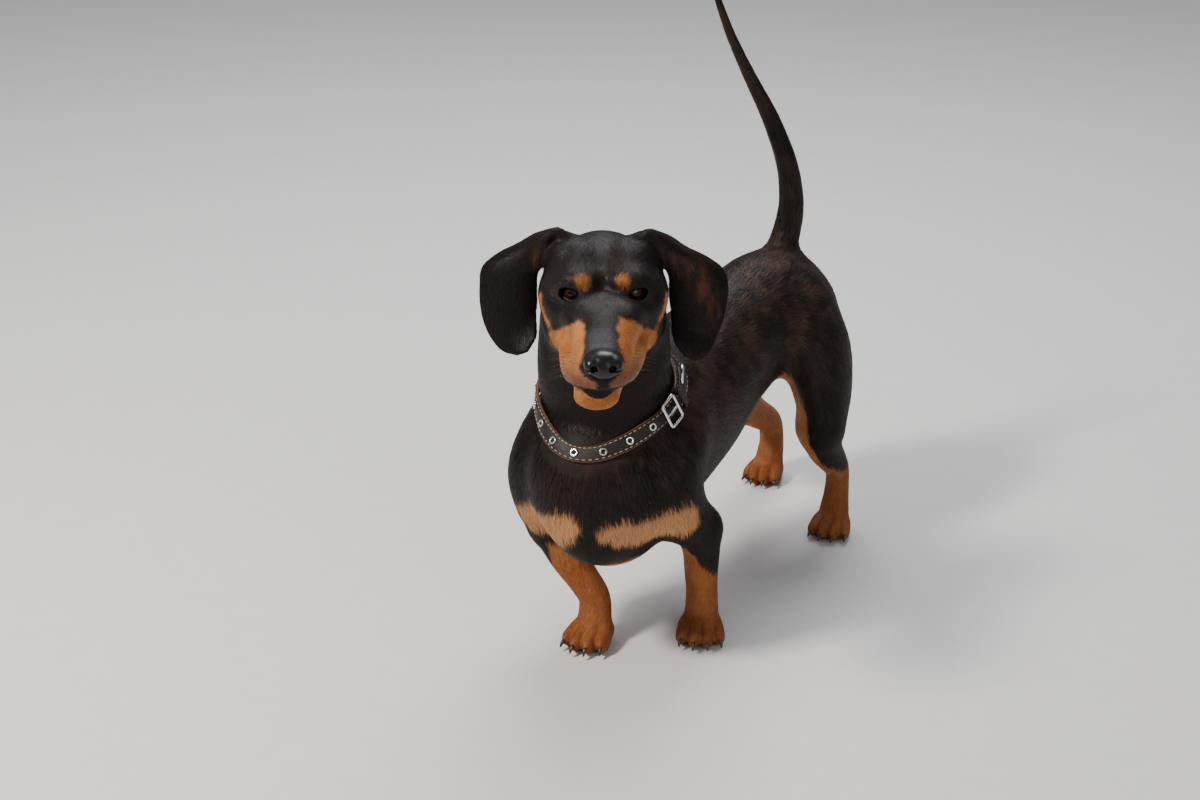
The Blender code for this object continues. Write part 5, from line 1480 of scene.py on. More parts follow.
def tube(path: Array, radii: list, around: int, reference: Array) -> Solid:
    """A round tube along a path with closed ends."""
    path = np.asarray(path, float)
    points = []
    for i, place in enumerate(path):
        along = unit(path[min(i + 1, len(path) - 1)] - path[max(i - 1, 0)])
        side = unit(np.cross(reference, along))
        rise = np.cross(along, side)
        points += [place + (side * a + rise * b) * radii[i] for a, b in circle(around, 1.0, 1.0)]
    return points, capped(len(path), around)


def ring(path: Array, side: Array, rise: Array, profile: Array) -> Solid:
    """A closed loop: a profile of (side, rise) offsets carried round a ring of places."""
    points = [path[i] + side[i] * a + rise[i] * b for i in range(len(path)) for a, b in profile]
    return points, walls(len(path), len(profile), closed=True)


def joined(name: str, pieces: list[Solid]) -> Thing:
    """One object from pieces of vertices and faces."""
    vertices = []
    faces = []
    for piece_vertices, piece_faces in pieces:
        base = len(vertices)
        vertices += list(piece_vertices)
        faces += [tuple(base + i for i in face) for face in piece_faces]
    return mesh_object(name, vertices, faces)


@dataclass
class Eye:
    """One eyeball with its iris and cornea, and the rim of its lids."""

    mirror: int
    around: int = 64
    rings: int = 40
    cornea_reach: float = 34.0
    cornea_rise: float = 0.3
    rim_radius: float = 0.62
    rim_steps: int = 72

    def build(self, eye_finish: Finish, rim_finish: Finish) -> list[Thing]:
        """The eyeball and its lid rim."""
        side = "left" if self.mirror > 0 else "right"
        axes = eye_axes(self.mirror)
        centre = eye_place(self.mirror)
        points = [(1.0, 0.0, 0.0)]
        for i in range(1, self.rings):
            polar = math.pi * i / self.rings
            points += [(math.cos(polar), a, b)
                       for a, b in circle(self.around, math.sin(polar), math.sin(polar))]
        points.append((-1.0, 0.0, 0.0))
        faces = [(0, 1 + j, 1 + (j + 1) % self.around) for j in range(self.around)]
        faces += [tuple(1 + i for i in face[::-1]) for face in walls(self.rings - 1, self.around)]
        last = len(points) - 1
        a = 1 + (self.rings - 2) * self.around
        faces += [(last, a + (j + 1) % self.around, a + j) for j in range(self.around)]
        unit_points = np.array(points)
        angle = np.degrees(np.arccos(np.clip(unit_points[:, 0], -1, 1)))
        bulge = self.cornea_rise * ease(self.cornea_reach, self.cornea_reach * 0.45, angle)
        places = centre + (unit_points * (EYE_RADIUS + bulge)[:, None]) @ axes * MM
        ball = mesh_object(f"eye_{side}_detail", places, faces)
        set_numbers(ball.data, "angle", angle / 90.0)
        turn = np.arctan2(unit_points[:, 2], unit_points[:, 1]) / math.tau + 0.5
        set_numbers(ball.data, "turn", turn)
        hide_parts(f"eye_{side}")
        loop = []
        out = []
        for b, c in circle(self.rim_steps, LID_OPENING[1] + 0.15, LID_OPENING[2] + 0.15):
            a = math.sqrt(max((EYE_RADIUS + 0.35) ** 2 - b * b - c * c, 9.0))
            loop.append(centre + np.array([a, b, c]) @ axes * MM)
            out.append(unit(np.array([a, b, c]) @ axes))
        loop = np.array(loop)
        along = units(np.roll(loop, -1, 0) - np.roll(loop, 1, 0))
        out = np.array(out)
        across = units(np.cross(along, out))
        profile = circle(10, self.rim_radius * 1.25 * MM, self.rim_radius * MM)
        rim = mesh_object(f"lid_rim_{side}", *ring(loop, across, out, profile))
        return [dressed(ball, eye_finish), dressed(rim, rim_finish)]


@dataclass
class Nose:
    """The nose leather with its nostrils."""

    grid: float = 0.45 * MM

    def build(self, finish: Finish) -> Thing:
        """The nose as one closed mesh."""
        forms = [(head_ball(NOSE_CENTRE, NOSE_RADII), 0.0, 1),
                 (head_ball(*NOSE_BASE), 4.0 * MM, 1)]
        for mirror in (1, -1):
            forms.append((head_ball(*NOSE_WING, mirror), 2.0 * MM, 1))
        groove = [(f, s, u, NOSE_GROOVE_RADIUS, NOSE_GROOVE_RADIUS) for f, s, u in NOSE_GROOVE]
        forms.append((Limb(head_rows(groove)), 1.2 * MM, -1))
        for mirror in (1, -1):
            forms.append((head_ball(NOSTRIL, NOSTRIL_RADII, mirror), 1.0 * MM, -1))
            slit = [(f, s * mirror, u, NOSTRIL_SLIT_RADIUS, NOSTRIL_SLIT_RADIUS) for f, s, u in NOSTRIL_SLIT]
            forms.append((Limb(head_rows(slit)), 1.0 * MM, -1))
        solid = [shape for shape, _, sign in forms if sign > 0]
        low = np.min([shape.bounds()[0] for shape in solid], 0) - NOSE_MARGIN
        high = np.max([shape.bounds()[1] for shape in solid], 0) + NOSE_MARGIN
        axes = [np.arange(a, b, self.grid) for a, b in zip(low, high)]
        points = grid_points(axes)
        values = forms[0][0].distance(points)
        for shape, blend, sign in forms[1:]:
            values = worked(values, shape.distance(points), blend, sign)
        vertices, quads = surface_net(values.reshape([len(a) for a in axes]), axes)
        vertices = relaxed(vertices, quads, 1, 0.5)
        nose = quad_object("nose_leather", vertices, quads)
        h = head_places(vertices)
        # Painted shade deep inside the nostrils
        nostril_shade = np.zeros(len(vertices))
        for mirror in (1, -1):
            deep = ball_depth(h * (1, mirror, 1), NOSTRIL, tuple(r + 0.4 for r in NOSTRIL_RADII))
            nostril_shade = np.maximum(nostril_shade, ease(-0.2, 0.4, deep) * ease(92.5, 89.0, h[:, 0]))
        set_numbers(nose.data, "nostril_shade", nostril_shade)
        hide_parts("nose")
        return dressed(nose, finish)


@dataclass
class Claws:
    """Sixteen curved claws."""

    sides: int = 14
    steps: int = 4

    def build(self, finish: Finish) -> list[Thing]:
        """The claws of each paw as one piece."""
        made = []
        for paw, (x, y, heading, scale) in PAWS.items():
            ahead, left, _ = heading_axes(heading)
            pieces = []
            for s, f, turn in TOES:
                toe_ahead, toe_left, _ = heading_axes(heading + turn)
                foot = np.array([x, y, 0.0]) * MM + (ahead * f + left * s) * MM * scale
                rows = [[*(foot + toe_ahead * reach * MM * scale + np.array([0, 0, rise * MM * scale])),
                         radius * MM * scale] for (reach, rise), radius in zip(CLAW_PATH, CLAW_RADII)]
                rows = smooth_stations(rows, self.steps)
                pieces.append(tube(rows[:, :3], list(rows[:, 3]), self.sides, toe_left))
            thing = joined(f"claws_{paw}", pieces)
            nodes = [f"claw_{paw.replace('paw', '')}_{k + 1}" for k in range(len(TOES))]
            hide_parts(*nodes)
            made.append(dressed(thing, finish))
        return made


@dataclass
class Whiskers:
    """Short stiff whiskers on the lips."""

    each_side: int = 13
    radius: float = 0.16
    seed: int = 5

    def build(self, grid: SkinGrid, finish: Finish) -> Thing:
        """All whiskers as one mesh."""
        rng = np.random.default_rng(self.seed)
        pieces = []
        for mirror in (1, -1):
            for k in range(self.each_side):
                row, column = divmod(k, 5)
                start = head_point(68.0 - 7.0 * column + rng.normal(0, 0.8), 30.0 * mirror,
                                   -31.0 - 4.5 * row + rng.normal(0, 0.6))
                inward = -HEAD_AXES[1] * mirror
                for _ in range(40):
                    away = grid.sample(start[None])[0]
                    if away < -0.4 * MM:
                        break
                    start = start + inward * max(away, 0.3 * MM) * 0.8
                lean = [-0.35 + 0.1 * rng.normal(), mirror, -0.25 + 0.12 * rng.normal()]
                way = unit(np.array(lean) @ HEAD_AXES)
                length = rng.uniform(12.0, 19.0) * MM
                droop = np.array([0.0, 0.0, -1.0]) * length * 0.16
                path = [start + way * length * t + droop * t * t - HEAD_AXES[0] * length * 0.18 * t * t
                        for t in np.linspace(0.0, 1.0, 7)]
                radii = [self.radius * MM * (1.0 - 0.85 * t) for t in np.linspace(0.0, 1.0, 7)]
                pieces.append(tube(np.array(path), radii, 5, HEAD_AXES[2]))
        thing = joined("whiskers", pieces)
        return dressed(thing, finish)


class Band:
    """The strap's path round the neck, sampled as places with along, across and outward axes."""

    FINE = 3

    def __init__(self, anatomy: Anatomy) -> None:
        """Find the neck round the collar's plane and lay the strap on it."""
        self.count = COLLAR_SAMPLES * self.FINE
        centre = metres(COLLAR_CENTRE)
        axis = unit(COLLAR_NORMAL)
        side = unit(np.array([1.0, 0.0, 0.0]) - axis[0] * axis)
        back = np.cross(axis, side)
        edge = 0.5 * STRAP_WIDTH * MM
        turns = math.tau * np.arange(self.count) / self.count - 0.5 * math.pi
        outward = np.cos(turns)[:, None] * side + np.sin(turns)[:, None] * back
        rows = []
        for height in (-edge, 0.0, edge):
            low = np.full(self.count, 0.02)
            high = np.full(self.count, 0.11)
            for _ in range(18):
                middle = 0.5 * (low + high)
                inside = anatomy.value(centre + axis * height + outward * middle[:, None]) < 0.0
                low = np.where(inside, middle, low)
                high = np.where(inside, high, middle)
            rows.append(self.rounded(0.5 * (low + high)))
        low, middle, high = rows
        clear = STRAP_CLEARANCE * MM + np.maximum(middle - 0.5 * (low + high), 0.0)
        self.low = centre - axis * edge + outward * (low + clear)[:, None]
        self.high = centre + axis * edge + outward * (high + clear)[:, None]
        self.middle = 0.5 * (self.low + self.high)
        self.along = units(np.roll(self.middle, -1, 0) - np.roll(self.middle, 1, 0))
        across = self.high - self.low
        self.across = units(across - (across * self.along).sum(1)[:, None] * self.along)
        self.out = np.cross(self.along, self.across)
        steps = lengths(np.roll(self.middle, -1, 0) - self.middle)
        self.stations = np.concatenate([[0.0], np.cumsum(steps)])

    def rounded(self, radii: Array) -> Array:
        """The ring's radii smoothed with their neighbours."""
        total = np.zeros(len(radii))
        weight = 0.0
        for shift in range(-COLLAR_SMOOTHING * self.FINE, COLLAR_SMOOTHING * self.FINE + 1):
            share = math.exp(-0.5 * (shift / (COLLAR_SMOOTHING_WIDTH * self.FINE)) ** 2)
            total += share * np.roll(radii, shift)
            weight += share
        return total / weight

    def at(self, station: float) -> tuple[Array, Array, Array, Array]:
        """Place, along, across and outward at millimetres of strap from the throat."""
        station = (station * MM) % self.stations[-1]
        i = int(np.searchsorted(self.stations, station, side="right")) - 1
        t = (station - self.stations[i]) / (self.stations[i + 1] - self.stations[i])
        j = (i + 1) % self.count
        place = self.middle[i] * (1 - t) + self.middle[j] * t
        along = unit(self.along[i] * (1 - t) + self.along[j] * t)
        across = self.across[i] * (1 - t) + self.across[j] * t
        across = unit(across - np.dot(across, along) * along)
        return place, along, across, np.cross(along, across)

    def point(self, station: float, across: float, out: float) -> Array:
        """A place set off from the strap's middle."""
        place, _, axis, outward = self.at(station)
        return place + (axis * across + outward * out) * MM


class Repeats:
    """A Geometry Nodes modifier that sets one item at every guide place."""

    def __init__(self) -> None:
        """Make the node group once."""
        self.group = bpy.data.node_groups.new("set_at_places", "GeometryNodeTree")
        face = self.group.interface
        face.new_socket("Geometry", in_out="INPUT", socket_type="NodeSocketGeometry")
        self.sockets = {}
        for name, kind in (("Item", "Object"), ("Size", "Float"), ("Waver", "Float"), ("Seed", "Int"),
                           ("Finish", "Material")):
            socket = face.new_socket(name, in_out="INPUT", socket_type="NodeSocket" + kind)
            self.sockets[name] = socket.identifier
        face.new_socket("Geometry", in_out="OUTPUT", socket_type="NodeSocketGeometry")
        board = Board(self.group)
        given = board.add("NodeGroupInput").outputs
        item = board.add("GeometryNodeObjectInfo", {"Object": given["Item"]}, transform_space="ORIGINAL")
        turned = {}
        for name, axis, pivot in (("out", "Z", "AUTO"), ("along", "X", "Z")):
            way = board.add("GeometryNodeInputNamedAttribute", {"Name": name}, data_type="FLOAT_VECTOR")
            turned["Vector"] = way.outputs["Attribute"]
            align = board.add("FunctionNodeAlignRotationToVector", turned, axis=axis, pivot_axis=pivot)
            turned = {"Rotation": align.outputs["Rotation"]}
        negative = board.add("ShaderNodeMath", {0: given["Waver"], 1: -1.0}, operation="MULTIPLY")
        waver = board.add("FunctionNodeRandomValue", {"Seed": given["Seed"]}, data_type="FLOAT")
        least, most = [s for s in waver.inputs if s.type == "VALUE" and s.enabled][:2]
        self.group.links.new(negative.outputs[0], least)
        self.group.links.new(given["Waver"], most)
        turn = board.add("ShaderNodeCombineXYZ", {"Z": next(s for s in waver.outputs if s.enabled)})
        to_turn = board.add("FunctionNodeEulerToRotation", {"Euler": turn.outputs["Vector"]})
        spin = board.add("FunctionNodeRotateRotation", {**turned, "Rotate By": to_turn.outputs["Rotation"]},
                         rotation_space="LOCAL")
        place = board.add("GeometryNodeInstanceOnPoints", {
            "Points": given["Geometry"], "Instance": item.outputs["Geometry"],
            "Rotation": spin.outputs["Rotation"], "Scale": given["Size"]})
        real = board.add("GeometryNodeRealizeInstances", {"Geometry": place.outputs["Instances"]})
        paint = board.add("GeometryNodeSetMaterial", {"Geometry": real.outputs["Geometry"],
                                                      "Material": given["Finish"]})
        board.add("NodeGroupOutput", {"Geometry": paint.outputs["Geometry"]})

    def set_at(self, name: str, item: Solid, places: list, finish: Finish, waver: float = 0.0,
               seed: int = 1) -> Thing:
        """One item repeated at places, as a plain mesh.

        Args:
            name: Name of the piece.
            item: Vertices and faces of the item about the origin, Z outward and X along.
            places: Place, along and outward of each, in metres.
            finish: The material.
            waver: Random turn about the outward axis, in radians.
            seed: Seed of that turn.

        Returns:
            The joined piece.
        """
        mesh = bpy.data.meshes.new(name + "_guide")
        mesh.from_pydata([tuple(p + CENTRING_SHIFT) for p, _, _ in places], [], [])
        for key, column in (("along", 1), ("out", 2)):
            layer = mesh.attributes.new(key, "FLOAT_VECTOR", "POINT")
            layer.data.foreach_set("vector", np.array([row[column] for row in places], np.float32).ravel())
        guide = linked(name, mesh)
        shape = bpy.data.meshes.new(name + "_item")
        shape.from_pydata([tuple(map(float, v)) for v in item[0]], [], item[1])
        shape.polygons.foreach_set("use_smooth", [True] * len(shape.polygons))
        single = linked(name + "_item", shape)
        modifier = guide.modifiers.new("repeats", "NODES")
        modifier.node_group = self.group
        for key, value in (("Item", single), ("Size", 1.0), ("Waver", waver), ("Seed", seed),
                           ("Finish", finish.material())):
            modifier[self.sockets[key]] = value
        guide.update_tag()
        bpy.context.view_layer.update()
        graph = bpy.context.evaluated_depsgraph_get()
        baked = bpy.data.meshes.new_from_object(guide.evaluated_get(graph))
        guide.modifiers.clear()
        guide.data = baked
        bpy.data.objects.remove(single)
        return guide


def capsule(length: float, radius: float, flat: float, rings: int = 7, around: int = 10) -> Solid:
    """A thread stitch along X, flattened and sunk at its ends, in millimetres."""
    points = []
    for i in range(rings):
        t = -1.0 + 2.0 * i / (rings - 1)
        thick = radius * math.sqrt(max(1.0 - 0.92 * t ** 4, 0.0))
        points += [(0.5 * length * t * MM, a * MM, (b - 0.35 * t * t) * MM)
                   for a, b in circle(around, thick, thick * flat)]
    return points, capped(rings, around)


def lathed(profile: list, around: int) -> Solid:
    """A closed profile of (radius, height) in millimetres turned about Z."""
    points = [(r * a * MM, r * b * MM, h * MM) for a, b in circle(around, 1.0, 1.0) for r, h in profile]
    return points, [(a, d, c, b) for a, b, c, d in walls(around, len(profile), closed=True)]


def both_edges(rows: list) -> list:
    """Places of a section from one edge over to the same ones at the other."""
    return rows + [(-a, b) for a, b in reversed(rows)]


@dataclass
class Collar:
    """Leather strap with its stitching, eyelets, keeper, buckle and ring."""

    band: Band
    repeats: Repeats
    crown: float = 0.5
    stitch_inset: float = 1.9
    stitch_length: float = 3.1
    stitch_pitch: float = 4.3
    stitch_radius: float = 0.30
    wire_sides: int = 16

    def build(self, leather: Finish, thread: Finish, steel: Finish, dark: Finish) -> list[Thing]:
        """Every piece of the collar."""
        made = [self.strap(leather), self.end(leather), self.keeper(leather)]
        made += self.buckle(steel)
        made.append(self.eyelets(steel))
        made.append(self.hole_shades(dark))
        made.append(self.stitches(thread))
        return made

    def profile(self, half: float, low: float, high: float) -> list:
        """Strap section, crowned, with rounded edges, as (across, outward) pairs in metres."""
        edge = [(-half, low + 0.5), (-half, high - 0.9), (-half + 0.35, high - 0.3), (-half + 1.0, high)]
        rows = edge + [(x, high + self.crown * (1.0 - (x / (half - 1.0)) ** 2))
                       for x in np.linspace(-half + 3, half - 3, 5)]
        rows += [(-a, b) for a, b in reversed(edge)] + [(half - 0.6, low), (-half + 0.6, low)]
        return [(a * MM, b * MM) for a, b in rows]

    def strap(self, finish: Finish) -> Thing:
        """The strap round the neck."""
        profile = self.profile(0.5 * STRAP_WIDTH, 0.0, STRAP_THICKNESS - self.crown)
        band = self.band
        thing = mesh_object("collar_leather", *ring(band.middle, band.across, band.out, profile))
        edge = np.tile([abs(a) / (0.5 * STRAP_WIDTH * MM) for a, _ in profile], band.count)
        set_numbers(thing.data, "edge", edge)
        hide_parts("collar_strap")
        return dressed(thing, finish)

    def end(self, finish: Finish) -> Thing:
        """The strap's free end, doubled back with a rounded tip."""
        low = STRAP_THICKNESS + END_LIFT
        half = 0.5 * STRAP_WIDTH - END_INSET
        round_from = END_TIP - END_ROUNDING
        stations = np.concatenate([np.linspace(END_TIP, round_from, 9)[:-1],
                                   np.linspace(round_from, END_BASE, 16)])
        points = []
        edge = []
        for station in stations:
            near_tip = max(0.0, 1.0 - (END_TIP - station) / END_ROUNDING)
            wide = half * math.sqrt(max(1.0 - near_tip ** 2.4, 0.04))
            section = self.profile(max(wide, 1.7), low, low + END_THICKNESS - self.crown)
            for a, b in section:
                points.append(self.band.point(station, a / MM, b / MM))
                edge.append(abs(a) / (wide * MM))
        thing = mesh_object("collar_free_end", points, capped(len(stations), len(section)))
        set_numbers(thing.data, "edge", np.array(edge))
        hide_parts("collar_end")
        return dressed(thing, finish)

    def keeper(self, finish: Finish) -> Thing:
        """The loop that holds the free end."""
        inside = STRAP_THICKNESS + END_LIFT + END_THICKNESS + KEEPER_HEADROOM
        edge = 0.5 * STRAP_WIDTH + KEEPER_CLEARANCE
        wall = KEEPER_WALL
        foot = KEEPER_LIFT
        outer = both_edges([(-edge - wall, foot), (-edge - wall, inside + 0.5), (-edge - 0.6, inside + wall)])
        inner = both_edges([(edge, foot), (edge, inside - 0.3), (edge - 0.5, inside)])
        section = outer + inner
        points = []
        stations = [KEEPER_PLACE + share * KEEPER_LENGTH for share in (-0.5, -0.3, 0.3, 0.5)]
        for station, shrink in zip(stations, (0.35, 0.0, 0.0, 0.35)):
            for k, (a, b) in enumerate(section):
                if k < len(outer):
                    a -= math.copysign(shrink, a)
                    b -= shrink if 0 < k < len(outer) - 1 else 0.0
                points.append(self.band.point(station, a, b))
        n = len(section)
        caps = [(k, k + 1, n - 2 - k, n - 1 - k) for k in range(len(outer) - 1)]
        last = (len(stations) - 1) * n
        faces = walls(len(stations), n) + [cap[::-1] for cap in caps]
        faces += [tuple(last + i for i in cap) for cap in caps]
        thing = mesh_object("keeper_leather", points, faces, smooth=False)
        set_numbers(thing.data, "edge", np.full(len(points), 0.5))
        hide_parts("collar_keeper")
        return dressed(thing, finish)

    def wire(self, name: str, places: list, radius: float) -> Thing:
        """A closed round wire through the given places."""
        path = smooth_loop(np.asarray(places), 4)
        forward = units(np.roll(path, -1, 0) - np.roll(path, 1, 0))
        normal = unit(np.linalg.svd(path - path.mean(0))[2][2])
        side = units(np.cross(forward, normal))
        rise = np.cross(side, forward)
        return mesh_object(name, *ring(path, side, rise, circle(self.wire_sides, radius, radius)))

    def buckle(self, finish: Finish) -> list[Thing]:
        """Buckle frame and prong, and the lead ring."""
        corner = BUCKLE_CORNER
        half_long = 0.5 * BUCKLE_LENGTH
        half_wide = 0.5 * BUCKLE_WIDTH
        place, along, across, out = self.band.at(BUCKLE_PLACE)
        centre = place + out * (STRAP_THICKNESS + BUCKLE_WIRE + BUCKLE_LIFT) * MM
        loop = []
        for sign_a, sign_b, start in ((1, 1, 0.0), (-1, 1, 90.0), (-1, -1, 180.0), (1, -1, 270.0)):
            for k in range(BUCKLE_CORNER_STEPS):
                turn = math.radians(start + 90.0 * k / (BUCKLE_CORNER_STEPS - 1))
                a = sign_a * (half_long - corner) + corner * math.cos(turn)
                b = sign_b * (half_wide - corner) + corner * math.sin(turn)
                loop.append(centre + (along * a + across * b) * MM)
        frame_piece = self.wire("buckle_wire", loop, BUCKLE_WIRE * MM)
        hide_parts("buckle_frame")
        reach = half_long - 0.2
        path = np.array([centre + (along * a + out * 0.5 * math.cos(math.pi * a / (2 * reach))) * MM
                         for a in np.linspace(-reach, reach, 13)])
        radii = [PRONG_WIRE * MM * (1.0 - 0.35 * abs(t) ** 6) for t in np.linspace(-1, 1, 13)]
        prong = mesh_object("prong_wire", *tube(path, radii, 14, across))
        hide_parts("buckle_prong")
        place, along, across, out = self.band.at(D_RING_PLACE)
        centre = place + (out * (STRAP_THICKNESS + D_RING_LIFT + D_RING_WIRE) + across * D_RING_ASIDE) * MM
        lean = unit(across * D_RING_LEAN[0] + out * D_RING_LEAN[1])
        arc = []
        for k in range(D_RING_STEPS + 1):
            turn = math.pi * k / D_RING_STEPS
            arc.append(centre + (along * math.cos(turn) + lean * math.sin(turn)) * D_RING_RADIUS * MM)
        arc += [centre + along * a * MM for a in (-D_RING_BAR, 0.0, D_RING_BAR)]
        ring_piece = self.wire("lead_ring", arc, D_RING_WIRE * MM)
        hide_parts("d_ring")
        return [dressed(thing, finish) for thing in (frame_piece, prong, ring_piece)]

    def eyelet_places(self, lift: float) -> list:
        """Place, along and outward of each eyelet."""
        rows = []
        for k in range(EYELET_COUNT):
            place, along, _, out = self.band.at(EYELET_FIRST - EYELET_PITCH * k)
            rows.append((place + out * lift * MM, along, out))
        return rows

    def eyelets(self, finish: Finish) -> Thing:
        """Rolled metal eyelets."""
        profile = [(EYELET_HOLE, -0.6), (EYELET_OUTER, -0.35)]
        for middle, reach, turns in ((EYELET_OUTER - 0.75, 0.75, np.linspace(0, 1.5, 6)),
                                     (EYELET_HOLE + 0.7, -0.7, np.linspace(1.3, 0, 6))):
            profile += [(middle + reach * math.cos(t), 0.15 + 0.75 * math.sin(t)) for t in turns]
        places = self.eyelet_places(STRAP_THICKNESS + EYELET_LIFT)
        thing = self.repeats.set_at("eyelets", lathed(profile, 32), places, finish)
        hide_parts(*[f"eyelet_{k + 1}" for k in range(EYELET_COUNT)])
        return thing

    def hole_shades(self, finish: Finish) -> Thing:
        """Dark discs in the eyelets: painted shade where the strap is not cut through."""
        profile = [(0.05, -0.1), (EYELET_HOLE + 0.2, -0.1), (EYELET_HOLE + 0.2, 0.12), (0.05, 0.12)]
        places = self.eyelet_places(STRAP_THICKNESS + 0.1)
        thing = self.repeats.set_at("eyelet_floors", lathed(profile, 20), places, finish)
        return thing

    def stitches(self, finish: Finish) -> Thing:
        """Rows of saddle stitches along both edges of the strap and round the free end."""
        rows = []
        inset = 0.5 * STRAP_WIDTH - self.stitch_inset
        total = self.band.stations[-1] / MM
        count = int(total / self.stitch_pitch)
        for across in (-inset, inset):
            for k in range(count):
                station = total * k / count
                place, along, axis, out = self.band.at(station)
                high = STRAP_THICKNESS - self.crown * (across / (0.5 * STRAP_WIDTH - 1)) ** 2
                rows.append((place + (axis * across + out * (high + 0.12)) * MM, along, out))
            for station in np.arange(END_BASE + 1.5, END_TIP - 4.0, self.stitch_pitch):
                place, along, axis, out = self.band.at(station)
                high = STRAP_THICKNESS + 3.15
                rows.append((place + (axis * across * 0.95 + out * high) * MM, along, out))
        item = capsule(self.stitch_length, self.stitch_radius, 0.8)
        thing = self.repeats.set_at("stitching", item, rows, finish, waver=0.07, seed=4)
        return thing


SKIN = Finish("skin_finish", Kind.MARKS, roughness=0.55, bump=0.35, grain=700.0, specular=0.12)
HAIR = Finish("hair_finish", Kind.MARKS, roughness=0.42, grain=260.0, specular=0.14)
EYEBALL = Finish("eye_finish", Kind.EYE, (0.018, 0.005, 0.003), (0.050, 0.013, 0.006), 0.09,
                 specular=0.2, coat=0.35)
RIM = Finish("lid_finish", Kind.PLAIN, (0.006, 0.005, 0.005), (0.016, 0.014, 0.015), 0.38, 0.3, 1800.0, 0.35)
LEATHER_NOSE = Finish("nose_finish", Kind.NOSE, (0.002, 0.002, 0.002), (0.004, 0.004, 0.0045), 0.30, 0.06,
                      1100.0, 0.4)
HORN = Finish("claw_finish", Kind.PLAIN, (0.016, 0.012, 0.010), (0.045, 0.034, 0.028), 0.36, 0.2, 600.0)
WHISKER = Finish("whisker_finish", Kind.PLAIN, (0.020, 0.018, 0.018), (0.060, 0.052, 0.048), 0.35,
                 grain=500.0)
LEATHER = Finish("leather_finish", Kind.LEATHER, (0.009, 0.0045, 0.0033), (0.120, 0.050, 0.024), 0.46, 0.45,
                 1300.0, 0.35)
THREAD = Finish("thread_finish", Kind.PLAIN, (0.36, 0.27, 0.14), (0.50, 0.39, 0.22), 0.75, 0.5, 4200.0,
                sheen=0.3)
STEEL = Finish("steel_finish", Kind.METAL, (0.62, 0.61, 0.58), (0.78, 0.77, 0.75), 0.20, 0.08, 1500.0)
# Near black finish for the painted shade in the eyelet holes
HOLE_SHADE = Finish("hole_shade_finish", Kind.PLAIN, (0.004, 0.003, 0.003), (0.008, 0.006, 0.005), 0.8, 0.0, 800.0)
FLOOR = Finish("floor_finish", Kind.PLAIN, (0.70, 0.69, 0.67), (0.74, 0.73, 0.71), 0.8, 0.05, 40.0,
               specular=0.2)


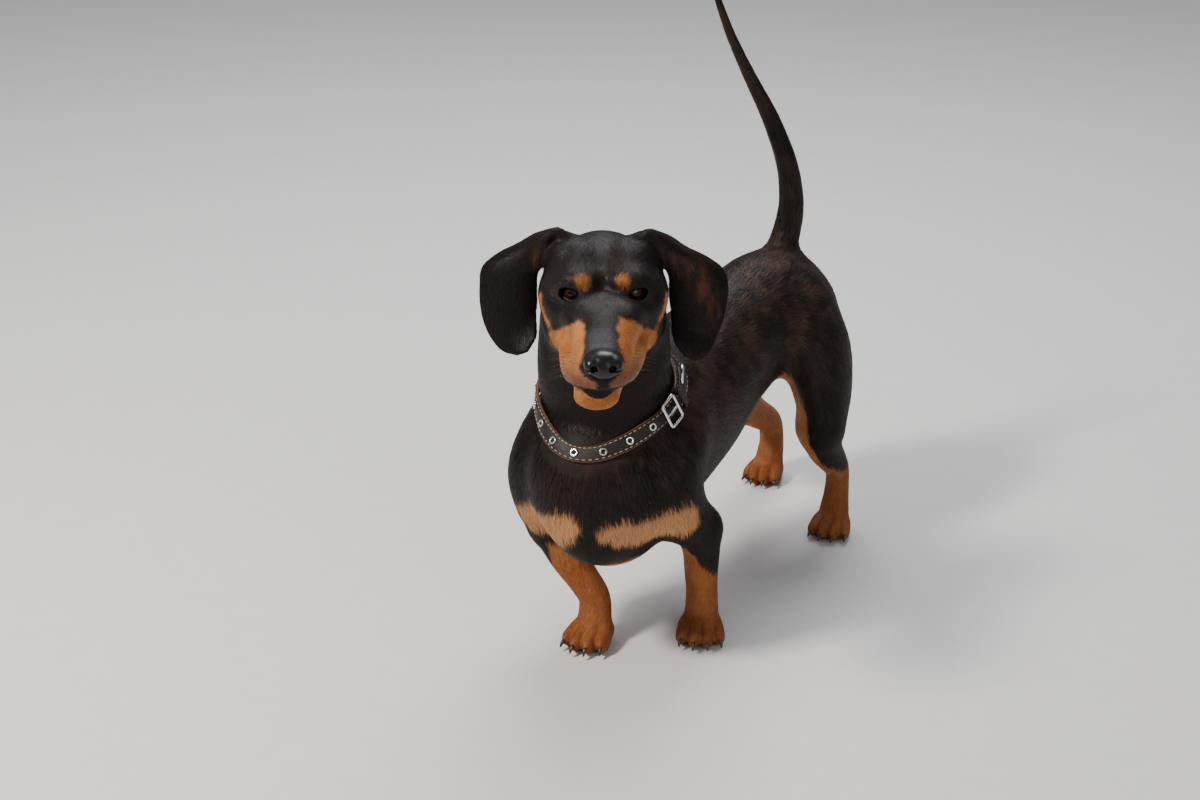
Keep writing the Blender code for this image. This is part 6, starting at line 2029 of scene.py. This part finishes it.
class Studio:
    """Floor, camera and lights."""

    CAMERA = np.array((0.6934, -1.4245, 0.8455))
    AHEAD = np.array((-0.4392, 0.8090, -0.3907))
    LENS = 63.0
    TARGET = Vector((0.0, -0.1, 0.22))
    FLOOR_HALF = 12.0
    FLOOR_STEPS = 12

    def build(self) -> None:
        """Set the stage."""
        scene = bpy.context.scene
        mesh = bpy.data.meshes.new("floor")
        count = self.FLOOR_STEPS + 1
        line = np.linspace(-self.FLOOR_HALF, self.FLOOR_HALF, count)
        points = [(x, y, 0.0) for y in line for x in line]
        corners = [row * count + column for row in range(count - 1) for column in range(count - 1)]
        faces = [(a, a + 1, a + count + 1, a + count) for a in corners]
        mesh.from_pydata(points, [], faces)
        floor = linked("floor", mesh)
        dressed(floor, FLOOR)
        data = bpy.data.cameras.new("camera")
        data.lens = self.LENS
        data.sensor_width = 36.0
        data.clip_start = 0.05
        data.clip_end = 60.0
        camera = linked("camera", data)
        ahead = unit(self.AHEAD)
        right = unit(np.cross(ahead, (0.0, 0.0, 1.0)))
        up = np.cross(right, ahead)
        rows = [[right[k], up[k], -ahead[k], self.CAMERA[k]] for k in range(3)]
        camera.matrix_world = Matrix(rows + [[0, 0, 0, 1]])
        scene.camera = camera
        world = bpy.data.worlds.new("studio")
        scene.world = world
        world.use_nodes = True
        back = world.node_tree.nodes["Background"]
        back.inputs["Color"].default_value = (0.86, 0.90, 1.0, 1.0)
        back.inputs["Strength"].default_value = 0.34
        for name, place, size, power, colour in (
                ("key", (-0.9, -1.4, 1.8), 0.40, 58.0, (1.0, 0.95, 0.88)),
                ("top", (-0.4, 0.9, 2.0), 1.2, 36.0, (0.96, 0.97, 1.0)),
                ("fill", (2.0, -1.2, 1.0), 1.4, 12.0, (1.0, 0.97, 0.94))):
            light = bpy.data.lights.new(name, "AREA")
            light.size = size
            light.energy = power
            light.color = colour
            lamp = linked(name, light)
            lamp.location = place
            lamp.rotation_euler = (self.TARGET - Vector(place)).to_track_quat("-Z", "Y").to_euler()


FLESH = ("head", "ear_left", "ear_right", "neck", "torso_chest", "torso_loin", "torso_hips", "tail_root",
         "tail_mid", "tail_tip", "foreleg_left", "foreleg_right", "forepaw_left", "forepaw_right",
         "thigh_left", "thigh_right", "shank_left", "shank_right", "hindpaw_left", "hindpaw_right")


def main() -> None:
    """Build and report every piece."""
    logging.basicConfig(level=logging.INFO, format="%(message)s")
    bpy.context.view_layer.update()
    Studio().build()
    anatomy = Anatomy()
    grid = SkinGrid(anatomy)
    skin = Skin(grid, Markings())
    body = skin.build(SKIN)
    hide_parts(*FLESH)
    pieces = [body]
    for piece in Coat().build(skin, grid, Lie(), HAIR):
        pieces.append(piece)
    for mirror in (1, -1):
        pieces += Eye(mirror).build(EYEBALL, RIM)
    pieces.append(Nose().build(LEATHER_NOSE))
    pieces += Claws().build(HORN)
    pieces.append(Whiskers().build(grid, WHISKER))
    pieces += Collar(Band(anatomy), Repeats()).build(LEATHER, THREAD, STEEL, HOLE_SHADE)
    for piece in pieces:
        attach(piece, "root")
        LOG.info("%s: %d faces", piece.name, len(piece.data.polygons))
    bpy.context.view_layer.update()


if __name__ == "__main__":
    main()
